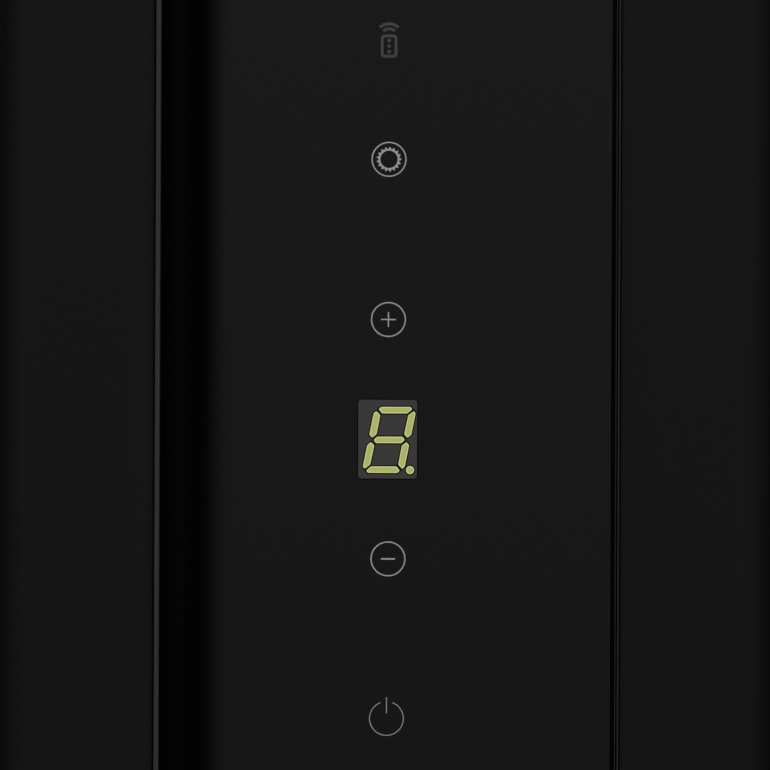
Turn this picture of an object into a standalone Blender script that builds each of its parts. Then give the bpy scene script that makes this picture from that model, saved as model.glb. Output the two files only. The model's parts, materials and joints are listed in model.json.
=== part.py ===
"""Slim tower air purifier: a glass control strip between two moulded side shells.

The driving sizes below are in millimetres. Every maker function turns them into metres.
The frame is +Z up, the front faces -Y, +X is to the right of someone facing the front, and
the origin is the middle of the footprint at floor level. Air goes in through the rear cover,
the pre-filter and the cartridge, into the fan's eye, round the scroll and out at the top.
"""

import math

import bmesh
import bpy
from mathutils import Matrix, Vector

MM = 0.001
GAP = 0.3
FULL_TURN = 2 * math.pi

# Casing
HALF_WIDTH = 87.0
HALF_DEPTH = 94.5
HEIGHT = 560.0
CORNER = 12.0
WALL = 2.5
BASE_BOTTOM = 6.0
BASE_TOP = 11.7
SHELL_TOP = 546.0
OPENING_HALF = 50.3
CHEEK_ROLL = 13.5
CHEEK_TILT = 25.0
REAR_RETURN = 72.0
SCREW_X = 76.0
SCREW_Y = 40.0

# Glass strip
GLASS_WIDTH = 99.15
GLASS_OFFSET = -0.425
GLASS_FRONT = -95.0
GLASS_BACK = -91.0
GLASS_BOTTOM = 15.0
GLASS_TOP = 544.0
GLASS_EDGE = 1.0

# Controls, measured up or down from the digit's centre
DISPLAY_Z = 400.0
RECEIVER_RISE = 85.7
KEY_RISE = {"light": 60.3, "plus": 25.8, "minus": -25.7, "power": -60.1}
KEY_RADIUS = 4.0
DIGIT_WIDTH = 12.6
DIGIT_HEIGHT = 19.0
BOARD_FRONT = -82.4
BOARD_BACK = -80.8

# Fan, on one axis along Y
FAN_Z = 250.0
IMPELLER_RADIUS = 55.0
BLADES = 24
SHAFT_RADIUS = 2.5
BORE_RADIUS = SHAFT_RADIUS + GAP
EYE_RADIUS = 46.0
SCROLL_FRONT = -30.0
SCROLL_REAR = 24.0
SCROLL_WALL = 2.2
SCROLL_START = 58.5
SCROLL_END = 77.0
TONGUE_DEG = 110.0
MOUTH_RISE = 85.0
TONGUE_X = SCROLL_START * math.cos(math.radians(TONGUE_DEG))

# Air outlet in the top
OUTLET_HALF = 60.0
OUTLET_FRONT = -62.0
OUTLET_REAR = 22.0

# Filter bay
BAY_WALL_FRONT = 27.1
BAY_WALL_REAR = 29.6
CARTRIDGE_HALF = 69.5
CARTRIDGE_BOTTOM = 50.0
CARTRIDGE_TOP = 470.0
CARTRIDGE_FRONT = 36.0
CARTRIDGE_REAR = 70.0
PREFILTER_FRONT = 74.0
PREFILTER_REAR = 80.0
COVER_HALF = 71.6
COVER_BOTTOM = 43.6
COVER_TOP = 544.0
COVER_INNER = 92.3
COVER_OUTER = 95.0
PANEL_BOTTOM = 14.0
INLET_X = 50.0
INLET_Z = 28.5

# Linear base colour, roughness, metallic
CASE_BLACK = ((0.013, 0.013, 0.014), 0.45, 0.0)
INNER_BLACK = ((0.02, 0.02, 0.022), 0.6, 0.0)
GLASS_BLACK = ((0.003, 0.003, 0.004), 0.06, 0.0)
RUBBER = ((0.02, 0.02, 0.02), 0.85, 0.0)
FOAM = ((0.05, 0.05, 0.055), 0.95, 0.0)
BOARD_GREEN = ((0.02, 0.12, 0.05), 0.5, 0.0)
STEEL = ((0.55, 0.56, 0.58), 0.35, 1.0)
COPPER = ((0.6, 0.3, 0.15), 0.4, 1.0)
DISPLAY_GREY = ((0.042, 0.04, 0.042), 0.4, 0.0)
KEY_FOAM = ((0.3, 0.3, 0.32), 0.8, 0.0)
FRAME_WHITE = ((0.7, 0.71, 0.7), 0.6, 0.0)
PAPER = ((0.8, 0.8, 0.76), 0.95, 0.0)
CARBON = ((0.03, 0.03, 0.032), 0.95, 0.0)
MESH_GREY = ((0.12, 0.12, 0.125), 0.8, 0.0)
TAB_BLUE = ((0.1, 0.22, 0.4), 0.7, 0.0)


def clear_scene():
    for obj in list(bpy.data.objects):
        bpy.data.objects.remove(obj, do_unlink=True)
    for mesh in list(bpy.data.meshes):
        bpy.data.meshes.remove(mesh)


def new_collection(name):
    made = bpy.data.collections.new(name)
    bpy.context.scene.collection.children.link(made)
    return made


clear_scene()
PARTS = new_collection("air_purifier")
CUTTERS = new_collection("cutters")


def give_finish(obj, finish):
    colour, roughness, metallic = finish
    material = bpy.data.materials.new(obj.name + "_finish")
    material.use_nodes = True
    shader = material.node_tree.nodes["Principled BSDF"]
    shader.inputs["Base Color"].default_value = (*colour, 1.0)
    shader.inputs["Roughness"].default_value = roughness
    shader.inputs["Metallic"].default_value = metallic
    obj.data.materials.append(material)


def add(name, data, finish):
    """Links an object to the parts, or to the cutters where it has no finish."""
    obj = bpy.data.objects.new(name, data)
    if finish is None:
        CUTTERS.objects.link(obj)
        obj.hide_render = True
        obj.display_type = "WIRE"
    else:
        PARTS.objects.link(obj)
        give_finish(obj, finish)
    return obj


def smooth(obj, degrees=35):
    obj.data.shade_smooth()
    obj.data.set_sharp_from_angle(angle=math.radians(degrees))
    return obj


def arc(centre, radius, start_deg, end_deg, steps):
    """Points on an arc, both ends included."""
    turn = [math.radians(start_deg + (end_deg - start_deg) * i / steps) for i in range(steps + 1)]
    return [(centre[0] + radius * math.cos(a), centre[1] + radius * math.sin(a)) for a in turn]


def circle(centre, radius, sides=24):
    return arc(centre, radius, 0, 360 - 360 / sides, sides - 1)


def rounded_rectangle(low, high, radius, steps=5):
    corners = (
        ((high[0] - radius, low[1] + radius), -90),
        ((high[0] - radius, high[1] - radius), 0),
        ((low[0] + radius, high[1] - radius), 90),
        ((low[0] + radius, low[1] + radius), 180),
    )
    return [point for centre, start in corners for point in arc(centre, radius, start, start + 90, steps)]


def plate(name, outlines, axis, low, high, finish):
    """A flat outline, with its holes, between two levels along Y (x, z points) or Z (x, y points)."""
    curve = bpy.data.curves.new(name, "CURVE")
    curve.dimensions = "2D"
    curve.fill_mode = "BOTH"
    curve.extrude = (high - low) / 2 * MM
    for outline in outlines:
        spline = curve.splines.new("POLY")
        spline.points.add(len(outline) - 1)
        for point, (across, up) in zip(spline.points, outline):
            point.co = (across * MM, up * MM, 0, 1)
        spline.use_cyclic_u = True
    flat = bpy.data.objects.new(name + "_outline", curve)
    bpy.context.scene.collection.objects.link(flat)
    bpy.context.view_layer.update()
    evaluated = flat.evaluated_get(bpy.context.evaluated_depsgraph_get())
    mesh = bpy.data.meshes.new_from_object(evaluated)
    bpy.data.objects.remove(flat)
    work = bmesh.new()
    work.from_mesh(mesh)
    bmesh.ops.remove_doubles(work, verts=work.verts, dist=1e-6)
    bmesh.ops.recalc_face_normals(work, faces=work.faces)
    work.to_mesh(mesh)
    work.free()
    mesh.name = name
    obj = add(name, mesh, finish)
    middle = (low + high) / 2 * MM
    if axis == "Y":
        obj.rotation_euler = (math.pi / 2, 0, 0)
        obj.location = (0, middle, 0)
    else:
        obj.location = (0, 0, middle)
    return smooth(obj)


def block(name, low, high, finish, corner=0.0, axis="Z", steps=4):
    """A box between two corners, with the four edges along one axis rounded where corner is given."""
    low = Vector(low) * MM
    high = Vector(high) * MM
    size = high - low
    work = bmesh.new()
    bmesh.ops.create_cube(work, size=1.0, matrix=Matrix.Diagonal((*size, 1.0)))
    if corner:
        along = "XYZ".index(axis)
        edges = [e for e in work.edges if abs((e.verts[0].co - e.verts[1].co)[along]) > size[along] / 2]
        bmesh.ops.bevel(work, geom=edges, offset=corner * MM, segments=steps, affect="EDGES", profile=0.5)
    mesh = bpy.data.meshes.new(name)
    work.to_mesh(mesh)
    work.free()
    obj = add(name, mesh, finish)
    obj.location = (low + high) / 2
    return smooth(obj)


def turned(name, profile, finish, place=(0.0, FAN_Z), along="Y", steps=32):
    """A profile of (radius, level) points turned about an axis along Y, front to rear, or Z, top to bottom."""
    mesh = bpy.data.meshes.new(name)
    flip = -1 if along == "Y" else 1
    points = [(radius * MM, 0, flip * level * MM) for radius, level in profile]
    count = len(points)
    open_ends = profile[0][0] == 0
    edges = [(i, (i + 1) % count) for i in range(count - 1 if open_ends else count)]
    mesh.from_pydata(points, edges, [])
    obj = add(name, mesh, finish)
    screw = obj.modifiers.new("turn", "SCREW")
    screw.steps = steps
    screw.render_steps = steps
    screw.use_merge_vertices = True
    screw.merge_threshold = 1e-6
    screw.use_smooth_shade = True
    if along == "Y":
        obj.rotation_euler = (math.pi / 2, 0, 0)
        obj.location = (place[0] * MM, 0, place[1] * MM)
    else:
        obj.location = (place[0] * MM, place[1] * MM, 0)
    return obj


def ring(name, outer, inner, front, rear, finish, **where):
    profile = [(outer, front), (outer, rear), (inner, rear), (inner, front)]
    return turned(name, profile, finish, **where)


def disc(name, radius, start, end, finish, **where):
    return turned(name, [(0, start), (radius, start), (radius, end), (0, end)], finish, **where)


def boolean(obj, other, operation):
    """Cuts or joins a solid that is kept among the cutters."""
    change = obj.modifiers.new(other.name, "BOOLEAN")
    change.operation = operation
    change.solver = "EXACT"
    change.object = other
    return obj


def cut(obj, other):
    return boolean(obj, other, "DIFFERENCE")


def join(obj, other):
    return boolean(obj, other, "UNION")


def soften(obj, width, segments=2, degrees=40):
    """Rounds the edges sharper than the given angle."""
    bevel = obj.modifiers.new("soften", "BEVEL")
    bevel.width = width * MM
    bevel.segments = segments
    bevel.limit_method = "ANGLE"
    bevel.angle_limit = math.radians(degrees)
    return obj


def smooth_route(points, steps=3):
    """A Catmull-Rom curve through the points of a lead's route."""
    ends = [Vector(p) for p in (points[0], *points, points[-1])]
    found = []
    for a, b, c, d in zip(ends, ends[1:], ends[2:], ends[3:]):
        for i in range(steps):
            t = i / steps
            found.append(0.5 * (2 * b + (c - a) * t + (2 * a - 5 * b + 4 * c - d) * t**2
                                + (3 * b - a - 3 * c + d) * t**3))
    found.append(ends[-1])
    return found


def lead(name, route, diameter, finish):
    curve = bpy.data.curves.new(name, "CURVE")
    curve.dimensions = "3D"
    curve.bevel_depth = diameter / 2 * MM
    curve.bevel_resolution = 2
    curve.use_fill_caps = True
    points = smooth_route(route)
    spline = curve.splines.new("POLY")
    spline.points.add(len(points) - 1)
    for point, place in zip(spline.points, points):
        point.co = (*(place * MM), 1)
    return add(name, curve, finish)


def footprint():
    """The casing's outline in plan."""
    return rounded_rectangle((-HALF_WIDTH, -HALF_DEPTH), (HALF_WIDTH, HALF_DEPTH), CORNER, steps=6)


def make_base():
    holes = [circle((x, y), 2.2, 12) for x in (-SCREW_X, SCREW_X) for y in (-SCREW_Y, SCREW_Y)]
    plate("base_plate", [footprint(), *holes], "Z", BASE_BOTTOM, BASE_TOP, CASE_BLACK)
    for end, y in (("front", -72.0), ("rear", 72.0)):
        for side, x in (("left", -62.0), ("right", 62.0)):
            profile = [(0, BASE_BOTTOM - GAP), (9.0, BASE_BOTTOM - GAP), (9.0, 1.2), (7.8, 0), (0, 0)]
            turned(f"foot_{end}_{side}", profile, RUBBER, place=(x, y), along="Z", steps=16)
    for end, y in (("front", -SCREW_Y), ("rear", SCREW_Y)):
        for side, x in (("left", -SCREW_X), ("right", SCREW_X)):
            profile = [(0, 24.0), (1.7, 24.0), (1.7, BASE_BOTTOM - GAP), (3.4, BASE_BOTTOM - GAP), (3.4, 4.0), (0, 4.0)]
            turned(f"base_screw_{end}_{side}", profile, STEEL, place=(x, y), along="Z", steps=12)


def shell_path():
    """The right-hand shell in plan, from the return beside the glass, round the side, to the rear return."""
    front = -HALF_DEPTH
    roll_x = OPENING_HALF + CHEEK_ROLL * math.sin(math.radians(CHEEK_TILT))
    corner_x = HALF_WIDTH - CORNER
    return [
        (OPENING_HALF, front + 10.0),
        *arc((roll_x, front + CHEEK_ROLL), CHEEK_ROLL, 270 - CHEEK_TILT, 270, 5),
        *arc((corner_x, front + CORNER), CORNER, 270, 360, 8),
        *arc((corner_x, HALF_DEPTH - CORNER), CORNER, 0, 90, 8),
        (REAR_RETURN, HALF_DEPTH),
    ]


def make_side_shell(name, side):
    path = [(side * x, y) for x, y in shell_path()]
    mesh = bpy.data.meshes.new(name)
    bottom = BASE_TOP + GAP
    mesh.from_pydata([(x * MM, y * MM, bottom * MM) for x, y in path], [(i, i + 1) for i in range(len(path) - 1)], [])
    work = bmesh.new()
    work.from_mesh(mesh)
    grown = bmesh.ops.extrude_edge_only(work, edges=work.edges[:])["geom"]
    raised = [v for v in grown if isinstance(v, bmesh.types.BMVert)]
    bmesh.ops.translate(work, verts=raised, vec=(0, 0, (SHELL_TOP - bottom) * MM))
    bmesh.ops.recalc_face_normals(work, faces=work.faces)
    side_faces = max(work.faces, key=lambda f: f.calc_area())
    if side_faces.normal.x * side < 0:
        bmesh.ops.reverse_faces(work, faces=work.faces[:])
    work.to_mesh(mesh)
    work.free()
    obj = smooth(add(name, mesh, CASE_BLACK))
    thicken = obj.modifiers.new("wall", "SOLIDIFY")
    thicken.thickness = WALL * MM
    thicken.offset = -1
    thicken.use_even_offset = True
    for y in (-SCREW_Y, SCREW_Y):
        inner, outer = sorted((side * 70.0, side * 85.6))
        boss = block(f"{name}_boss_{y:.0f}", (inner, y - 6, bottom), (outer, y + 6, 30.0), None)
        join(obj, boss)
        drill = disc(f"{name}_drill_{y:.0f}", 2.2, 26.0, 8.0, None, place=(side * SCREW_X, y), along="Z", steps=12)
        cut(obj, drill)
    return obj


def make_top():
    cap = block("top_cap", (-HALF_WIDTH, -HALF_DEPTH, SHELL_TOP + GAP), (HALF_WIDTH, HALF_DEPTH, HEIGHT), CASE_BLACK,
                corner=CORNER, steps=5)
    rim = cap.modifiers.new("rim", "BEVEL")
    rim.width = 4 * MM
    rim.segments = 2
    rim.limit_method = "VGROUP"
    rim.vertex_group = "rim"
    group = cap.vertex_groups.new(name="rim")
    group.add([v.index for v in cap.data.vertices if v.co.z > 0], 1.0, "REPLACE")
    hollow = block("top_cap_hollow", (-HALF_WIDTH + WALL, -HALF_DEPTH + WALL, SHELL_TOP - 6),
                   (HALF_WIDTH - WALL, HALF_DEPTH - WALL, HEIGHT - 3), None, corner=CORNER - WALL)
    cut(cap, hollow)
    mouth = block("top_cap_mouth", (-OUTLET_HALF, OUTLET_FRONT, HEIGHT - 8), (OUTLET_HALF, OUTLET_REAR, HEIGHT + 5), None,
                  corner=6.0)
    cut(cap, mouth)
    outline = rounded_rectangle((-OUTLET_HALF + GAP, OUTLET_FRONT + GAP), (OUTLET_HALF - GAP, OUTLET_REAR - GAP), 5.7, 4)
    rows = 10
    pitch = (OUTLET_REAR - OUTLET_FRONT - 6) / rows
    slots = []
    for row in range(rows):
        start = OUTLET_FRONT + 3 + pitch * row + 1.5
        for low, high in ((-55.0, -1.5), (1.5, 55.0)):
            slots.append(rounded_rectangle((low, start), (high, start + pitch - 3), 1.5, 1))
    plate("outlet_grille", [outline, *slots], "Z", HEIGHT - 3.2, HEIGHT - 0.6, CASE_BLACK)


def make_glass():
    left = GLASS_OFFSET - GLASS_WIDTH / 2
    right = GLASS_OFFSET + GLASS_WIDTH / 2
    glass = block("front_glass", (left, GLASS_FRONT, GLASS_BOTTOM), (right, GLASS_BACK, GLASS_TOP), GLASS_BLACK,
                  corner=2.0, axis="Y", steps=3)
    edge = glass.modifiers.new("ground_edge", "BEVEL")
    edge.width = GLASS_EDGE * MM
    edge.segments = 2
    edge.limit_method = "VGROUP"
    edge.vertex_group = "front_edge"
    group = glass.vertex_groups.new(name="front_edge")
    group.add([v.index for v in glass.data.vertices if v.co.y < 0], 1.0, "REPLACE")
    tape = [
        rounded_rectangle((-47.0, GLASS_BOTTOM + 3), (47.0, GLASS_TOP - 3), 2.0, 2),
        rounded_rectangle((-39.0, GLASS_BOTTOM + 11), (39.0, GLASS_TOP - 11), 2.0, 2),
    ]
    plate("glass_tape", tape, "Y", GLASS_BACK + 0.2, GLASS_BACK + 0.8, FOAM)
    half = OPENING_HALF - GAP
    window = rounded_rectangle((-DIGIT_WIDTH / 2 - 0.5, DISPLAY_Z - DIGIT_HEIGHT / 2 - 0.5),
                               (DIGIT_WIDTH / 2 + 0.5, DISPLAY_Z + DIGIT_HEIGHT / 2 + 0.5), 0.8, 2)
    keys = [circle((0, DISPLAY_Z + rise), KEY_RADIUS + 1, 16) for rise in KEY_RISE.values()]
    eye = circle((0, DISPLAY_Z + RECEIVER_RISE), 4.2, 16)
    edge_line = rounded_rectangle((-half, GLASS_BOTTOM), (half, GLASS_TOP), 2.0, 2)
    plate("glass_carrier", [edge_line, window, *keys, eye], "Y", GLASS_BACK + 1.1, GLASS_BACK + 3.6, INNER_BLACK)


def make_controls():
    board = rounded_rectangle((-17.0, DISPLAY_Z - 74), (17.0, DISPLAY_Z + 98), 2.0, 2)
    plate("touch_board", [board], "Y", BOARD_FRONT, BOARD_BACK, BOARD_GREEN)
    face = GLASS_BACK + GAP
    rear = BOARD_FRONT - GAP
    block("digit_display", (-DIGIT_WIDTH / 2, face, DISPLAY_Z - DIGIT_HEIGHT / 2),
          (DIGIT_WIDTH / 2, rear, DISPLAY_Z + DIGIT_HEIGHT / 2), DISPLAY_GREY)
    for key, rise in KEY_RISE.items():
        disc(f"key_pad_{key}", KEY_RADIUS, face, rear, KEY_FOAM, place=(0, DISPLAY_Z + rise), steps=16)
    dome = [(r, face + 0.2 + 2.6 - z) for z, r in arc((0, 0), 2.6, 0, 90, 4)]
    dome[0] = (0, dome[0][1])
    profile = [*dome, (3.4, face + 2.8), (3.4, rear), (0, rear)]
    turned("remote_receiver", profile, GLASS_BLACK, place=(0, DISPLAY_Z + RECEIVER_RISE), steps=16)


def make_power():
    tray_low = (-66.0, 40.0)
    tray_high = (66.0, 155.0)
    tray = plate("power_board_tray", [rounded_rectangle(tray_low, tray_high, 3.0, 2)], "Y", -72.0, -70.2, FRAME_WHITE)
    rim = [
        rounded_rectangle(tray_low, tray_high, 3.0, 2),
        rounded_rectangle((tray_low[0] + 1.8, tray_low[1] + 1.8), (tray_high[0] - 1.8, tray_high[1] - 1.8), 1.2, 2),
    ]
    join(tray, plate("power_board_tray_rim", rim, "Y", -71.0, -63.0, None))
    plate("power_board", [rounded_rectangle((-62.0, 44.0), (62.0, 151.0), 2.0, 2)], "Y", -69.6, -68.0, BOARD_GREEN)
    soften(block("transformer", (-22.0, -67.7, 84.0), (6.0, -44.0, 112.0), COPPER), 1.5)
    panel = [
        rounded_rectangle((-COVER_HALF, PANEL_BOTTOM), (COVER_HALF, COVER_BOTTOM - 0.6), 2.0, 2),
        rounded_rectangle((INLET_X - 12.3, INLET_Z - 8.3), (INLET_X + 12.3, INLET_Z + 8.3), 1.3, 2),
    ]
    plate("lower_rear_panel", panel, "Y", 92.0, 94.7, CASE_BLACK)
    inlet = block("mains_inlet", (INLET_X - 12, 72.0, INLET_Z - 8), (INLET_X + 12, 94.5, INLET_Z + 8), INNER_BLACK,
                  corner=1.0, axis="Y", steps=2)
    socket = rounded_rectangle((INLET_X - 8.0, INLET_Z - 4.6), (INLET_X + 8.0, INLET_Z + 4.6), 4.5, 4)
    cut(inlet, plate("mains_inlet_socket", [socket], "Y", 80.0, 100.0, None))
    for side in (-1, 1):
        pin = disc(f"mains_inlet_pin_{side}", 1.2, 78.0, 91.0, None, place=(INLET_X + side * 4.3, INLET_Z), steps=10)
        join(inlet, pin)


def make_leads():
    """Each lead leaves its two ends at right angles to what it meets."""
    board = -67.6
    lead("mains_lead", [(INLET_X, 71.6, INLET_Z), (INLET_X, 60, INLET_Z), (INLET_X, 20, 26), (INLET_X, -20, 24),
                        (48, -44, 28), (44, -54, 44), (42, -57, 60), (42, -62, 66), (42, board + 0.7, 66)], 6.0, RUBBER)
    lead("display_cable", [(10, BOARD_BACK + 0.8, 334), (10, -78, 334), (10.4, -75, 326), (11, -75, 300), (16, -74, 230),
                           (24, -72, 182), (26, -66, 168), (26, -58, 157), (26, -57, 148), (26, -60, 141), (26, -64, 138),
                           (26, board, 138)], 2.4, RUBBER)
    lead("motor_cable", [(0, -48, FAN_Z - 30.5), (-2, -48, 205), (-20, -50, 180), (-34, -54, 156), (-36, -58, 138),
                         (-36, -63, 134), (-36, board, 134)], 3.0, RUBBER)


def scroll_outline(grow, top):
    """The scroll in the XZ plane: a spiral that widens from the tongue to the mouth, then straight walls up."""
    steps = 20
    spiral = []
    for i in range(steps + 1):
        share = i / steps
        angle = math.radians(TONGUE_DEG + (360 - TONGUE_DEG) * share)
        radius = SCROLL_START + (SCROLL_END - SCROLL_START) * share + grow
        spiral.append((radius * math.cos(angle), FAN_Z + radius * math.sin(angle)))
    return [*spiral, (SCROLL_END + grow, FAN_Z + top), (TONGUE_X - grow, FAN_Z + top)]


def make_fan_housing():
    housing = plate("scroll_housing", [scroll_outline(SCROLL_WALL, MOUTH_RISE)], "Y", SCROLL_FRONT, SCROLL_REAR,
                    INNER_BLACK)
    cut(housing, plate("scroll_hollow", [scroll_outline(0, MOUTH_RISE + 20)], "Y", SCROLL_FRONT + SCROLL_WALL,
                       SCROLL_REAR + 20, None))
    cut(housing, disc("scroll_shaft_hole", 12.0, SCROLL_FRONT - 5, SCROLL_FRONT + 10, None, steps=20))
    plate("scroll_cover", [scroll_outline(SCROLL_WALL, MOUTH_RISE), circle((0, FAN_Z), EYE_RADIUS, 32)], "Y",
          SCROLL_REAR + GAP, BAY_WALL_FRONT - GAP, INNER_BLACK)
    wall = [
        rounded_rectangle((-84.2, BASE_TOP + GAP), (84.2, SHELL_TOP - GAP), 2.0, 2),
        circle((0, FAN_Z), EYE_RADIUS + 1, 32),
        circle((INLET_X, 26.0), 6.0, 16),
    ]
    plate("filter_bay_wall", wall, "Y", BAY_WALL_FRONT, BAY_WALL_REAR, INNER_BLACK)
    make_inlet_guard()
    make_duct()


def make_inlet_guard():
    """Concentric rings on six spokes across the fan's eye."""
    outer = EYE_RADIUS + 6
    spokes = 6
    spoke_half = 1.2
    sectors = []
    for low, high in ((9.0, 18.0), (20.0, 30.0), (32.0, 44.0)):
        for spoke in range(spokes):
            start = 360 / spokes * spoke
            end = start + 360 / spokes
            inset_low = math.degrees(math.asin(spoke_half / low))
            inset_high = math.degrees(math.asin(spoke_half / high))
            sectors.append([
                *arc((0, FAN_Z), high, start + inset_high, end - inset_high, 3),
                *arc((0, FAN_Z), low, end - inset_low, start + inset_low, 2),
            ])
    plate("inlet_guard", [circle((0, FAN_Z), outer, 32), *sectors], "Y", BAY_WALL_REAR + GAP, BAY_WALL_REAR + 2.0, STEEL)


def make_duct():
    """A duct that widens from the scroll's mouth to the outlet in the top."""
    bottom = FAN_Z + MOUTH_RISE + GAP
    low = (TONGUE_X - SCROLL_WALL, SCROLL_END + SCROLL_WALL, SCROLL_FRONT, BAY_WALL_FRONT - GAP, bottom)
    high = (-OUTLET_HALF + 1, OUTLET_HALF - 1, OUTLET_FRONT + 1, OUTLET_REAR - 1, HEIGHT - 4.5)
    verts = [(x, y, z) for x0, x1, y0, y1, z in (low, high) for x, y in ((x0, y0), (x1, y0), (x1, y1), (x0, y1))]
    faces = [(i, (i + 1) % 4, (i + 1) % 4 + 4, i + 4) for i in range(4)]
    mesh = bpy.data.meshes.new("outlet_duct")
    mesh.from_pydata([tuple(c * MM for c in v) for v in verts], [], faces)
    duct = add("outlet_duct", mesh, INNER_BLACK)
    thicken = duct.modifiers.new("wall", "SOLIDIFY")
    thicken.thickness = 2.0 * MM
    thicken.offset = -1
    thicken.use_even_offset = True


def make_motor():
    rear = SCROLL_FRONT - GAP
    grommet_front = rear - 3.2
    plate_rear = grommet_front - GAP
    plate_front = plate_rear - 2.3
    can_rear = plate_front - GAP
    can_front = can_rear - 25.6
    bearing = 5.0
    for i in range(3):
        angle = math.radians(90 + 120 * i)
        place = (34.0 * math.cos(angle), FAN_Z + 34.0 * math.sin(angle))
        ring(f"motor_grommet_{i + 1}", 5.0, 2.2, grommet_front, rear, RUBBER, place=place, steps=14)
    ring("motor_end_plate", 40.0, 9.0, plate_front, plate_rear, STEEL)
    can = [(2.0 + BORE_RADIUS, can_front), (30.0, can_front), (30.0, can_rear), (28.0, can_rear),
           (28.0, can_front + 2), (2.0 + BORE_RADIUS, can_front + 2)]
    turned("motor_housing", can, STEEL)
    first = can_front + 2 + GAP
    ring("motor_bearing_front", 9.0, BORE_RADIUS, first, first + bearing, STEEL, steps=20)
    ring("motor_bearing_rear", 8.0, BORE_RADIUS, can_rear - bearing + 2.5, can_rear + 2.5, STEEL, steps=20)
    ring("motor_stator", 27.7, 17.0, first + bearing + 1, can_rear - bearing - 1, COPPER)
    ring("rotor_magnet", 16.4, BORE_RADIUS, first + bearing + 1.5, can_rear - bearing - 1.5, INNER_BLACK)
    disc("motor_shaft", SHAFT_RADIUS, first + 0.5, 14.0, STEEL, steps=16)


def blade_outline(turn):
    """One forward-curved blade between the plate's inner and outer radii."""
    inner = IMPELLER_RADIUS - 12.0
    half = 0.65
    sweep = 11.0
    steps = 3
    middle = []
    for i in range(steps + 1):
        share = i / steps
        radius = inner + (IMPELLER_RADIUS - 0.8 - inner) * share
        middle.append((radius, turn + math.radians(sweep) * share**2))
    left = [(r * math.cos(a + half / r), FAN_Z + r * math.sin(a + half / r)) for r, a in middle]
    right = [(r * math.cos(a - half / r), FAN_Z + r * math.sin(a - half / r)) for r, a in reversed(middle)]
    return left + right


def make_impeller():
    """A cage of blades between a full disc at the motor's side and an open ring at the eye's side."""
    front = -24.0
    rear = 20.0
    hub_rear = 8.0
    profile = [(BORE_RADIUS, front), (IMPELLER_RADIUS, front), (IMPELLER_RADIUS, front + 2), (9.0, front + 2),
               (9.0, hub_rear), (BORE_RADIUS, hub_rear)]
    wheel = turned("impeller", profile, INNER_BLACK, steps=36)
    blades = [blade_outline(FULL_TURN * i / BLADES) for i in range(BLADES)]
    join(wheel, plate("impeller_blades", blades, "Y", front + 1, rear - 1, None))
    rim = ring("impeller_rim", IMPELLER_RADIUS, IMPELLER_RADIUS - 9, rear - 2, rear, None, steps=36)
    join(wheel, rim)
    ring("impeller_nut", 5.0, BORE_RADIUS + 0.4, hub_rear + GAP, hub_rear + 4, STEEL, steps=6)


def make_cartridge():
    outer = rounded_rectangle((-CARTRIDGE_HALF, CARTRIDGE_BOTTOM), (CARTRIDGE_HALF, CARTRIDGE_TOP), 3.0, 3)
    inset = 3.5
    low = (-CARTRIDGE_HALF + inset, CARTRIDGE_BOTTOM + inset)
    high = (CARTRIDGE_HALF - inset, CARTRIDGE_TOP - inset)
    plate("filter_frame", [outer, rounded_rectangle(low, high, 0.6, 1)], "Y", CARTRIDGE_FRONT, CARTRIDGE_REAR,
          FRAME_WHITE)
    pleats = 21
    pitch = 2 * (high[0] - GAP) / pleats
    middle = CARTRIDGE_FRONT + 13.5
    zigzag = [(low[0] + GAP + pitch / 2 * i, middle + (10 if i % 2 else -10)) for i in range(2 * pleats + 1)]
    ribbon = [(x, y + 2) for x, y in reversed(zigzag)] + [(x, y - 2) for x, y in zigzag]
    plate("filter_pleats", [ribbon], "Z", low[1] + GAP, high[1] - GAP, PAPER)
    block("carbon_layer", (low[0] + GAP, CARTRIDGE_FRONT + 26, low[1] + GAP),
          (high[0] - GAP, CARTRIDGE_REAR - 1.5, high[1] - GAP), CARBON)
    seal = [
        rounded_rectangle((-68.0, CARTRIDGE_BOTTOM + 1.5), (68.0, CARTRIDGE_TOP - 1.5), 3.0, 2),
        rounded_rectangle((-60.0, CARTRIDGE_BOTTOM + 9.5), (60.0, CARTRIDGE_TOP - 9.5), 2.0, 2),
    ]
    plate("filter_seal", seal, "Y", BAY_WALL_REAR + GAP, CARTRIDGE_FRONT - GAP, FOAM)
    block("filter_pull_tab", (-12.0, CARTRIDGE_REAR + GAP, 424.0), (12.0, CARTRIDGE_REAR + 1.5, 468.0), TAB_BLUE,
          corner=4.0, axis="Y")


def make_prefilter():
    outer = rounded_rectangle((-CARTRIDGE_HALF, CARTRIDGE_BOTTOM), (CARTRIDGE_HALF, CARTRIDGE_TOP), 3.0, 3)
    inset = 5.0
    low = (-CARTRIDGE_HALF + inset, CARTRIDGE_BOTTOM + inset)
    high = (CARTRIDGE_HALF - inset, CARTRIDGE_TOP - inset)
    plate("prefilter_frame", [outer, rounded_rectangle(low, high, 0.6, 1)], "Y", PREFILTER_FRONT, PREFILTER_REAR,
          CASE_BLACK)
    make_prefilter_mesh((low[0] + GAP, low[1] + GAP), (high[0] - GAP, high[1] - GAP))


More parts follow.
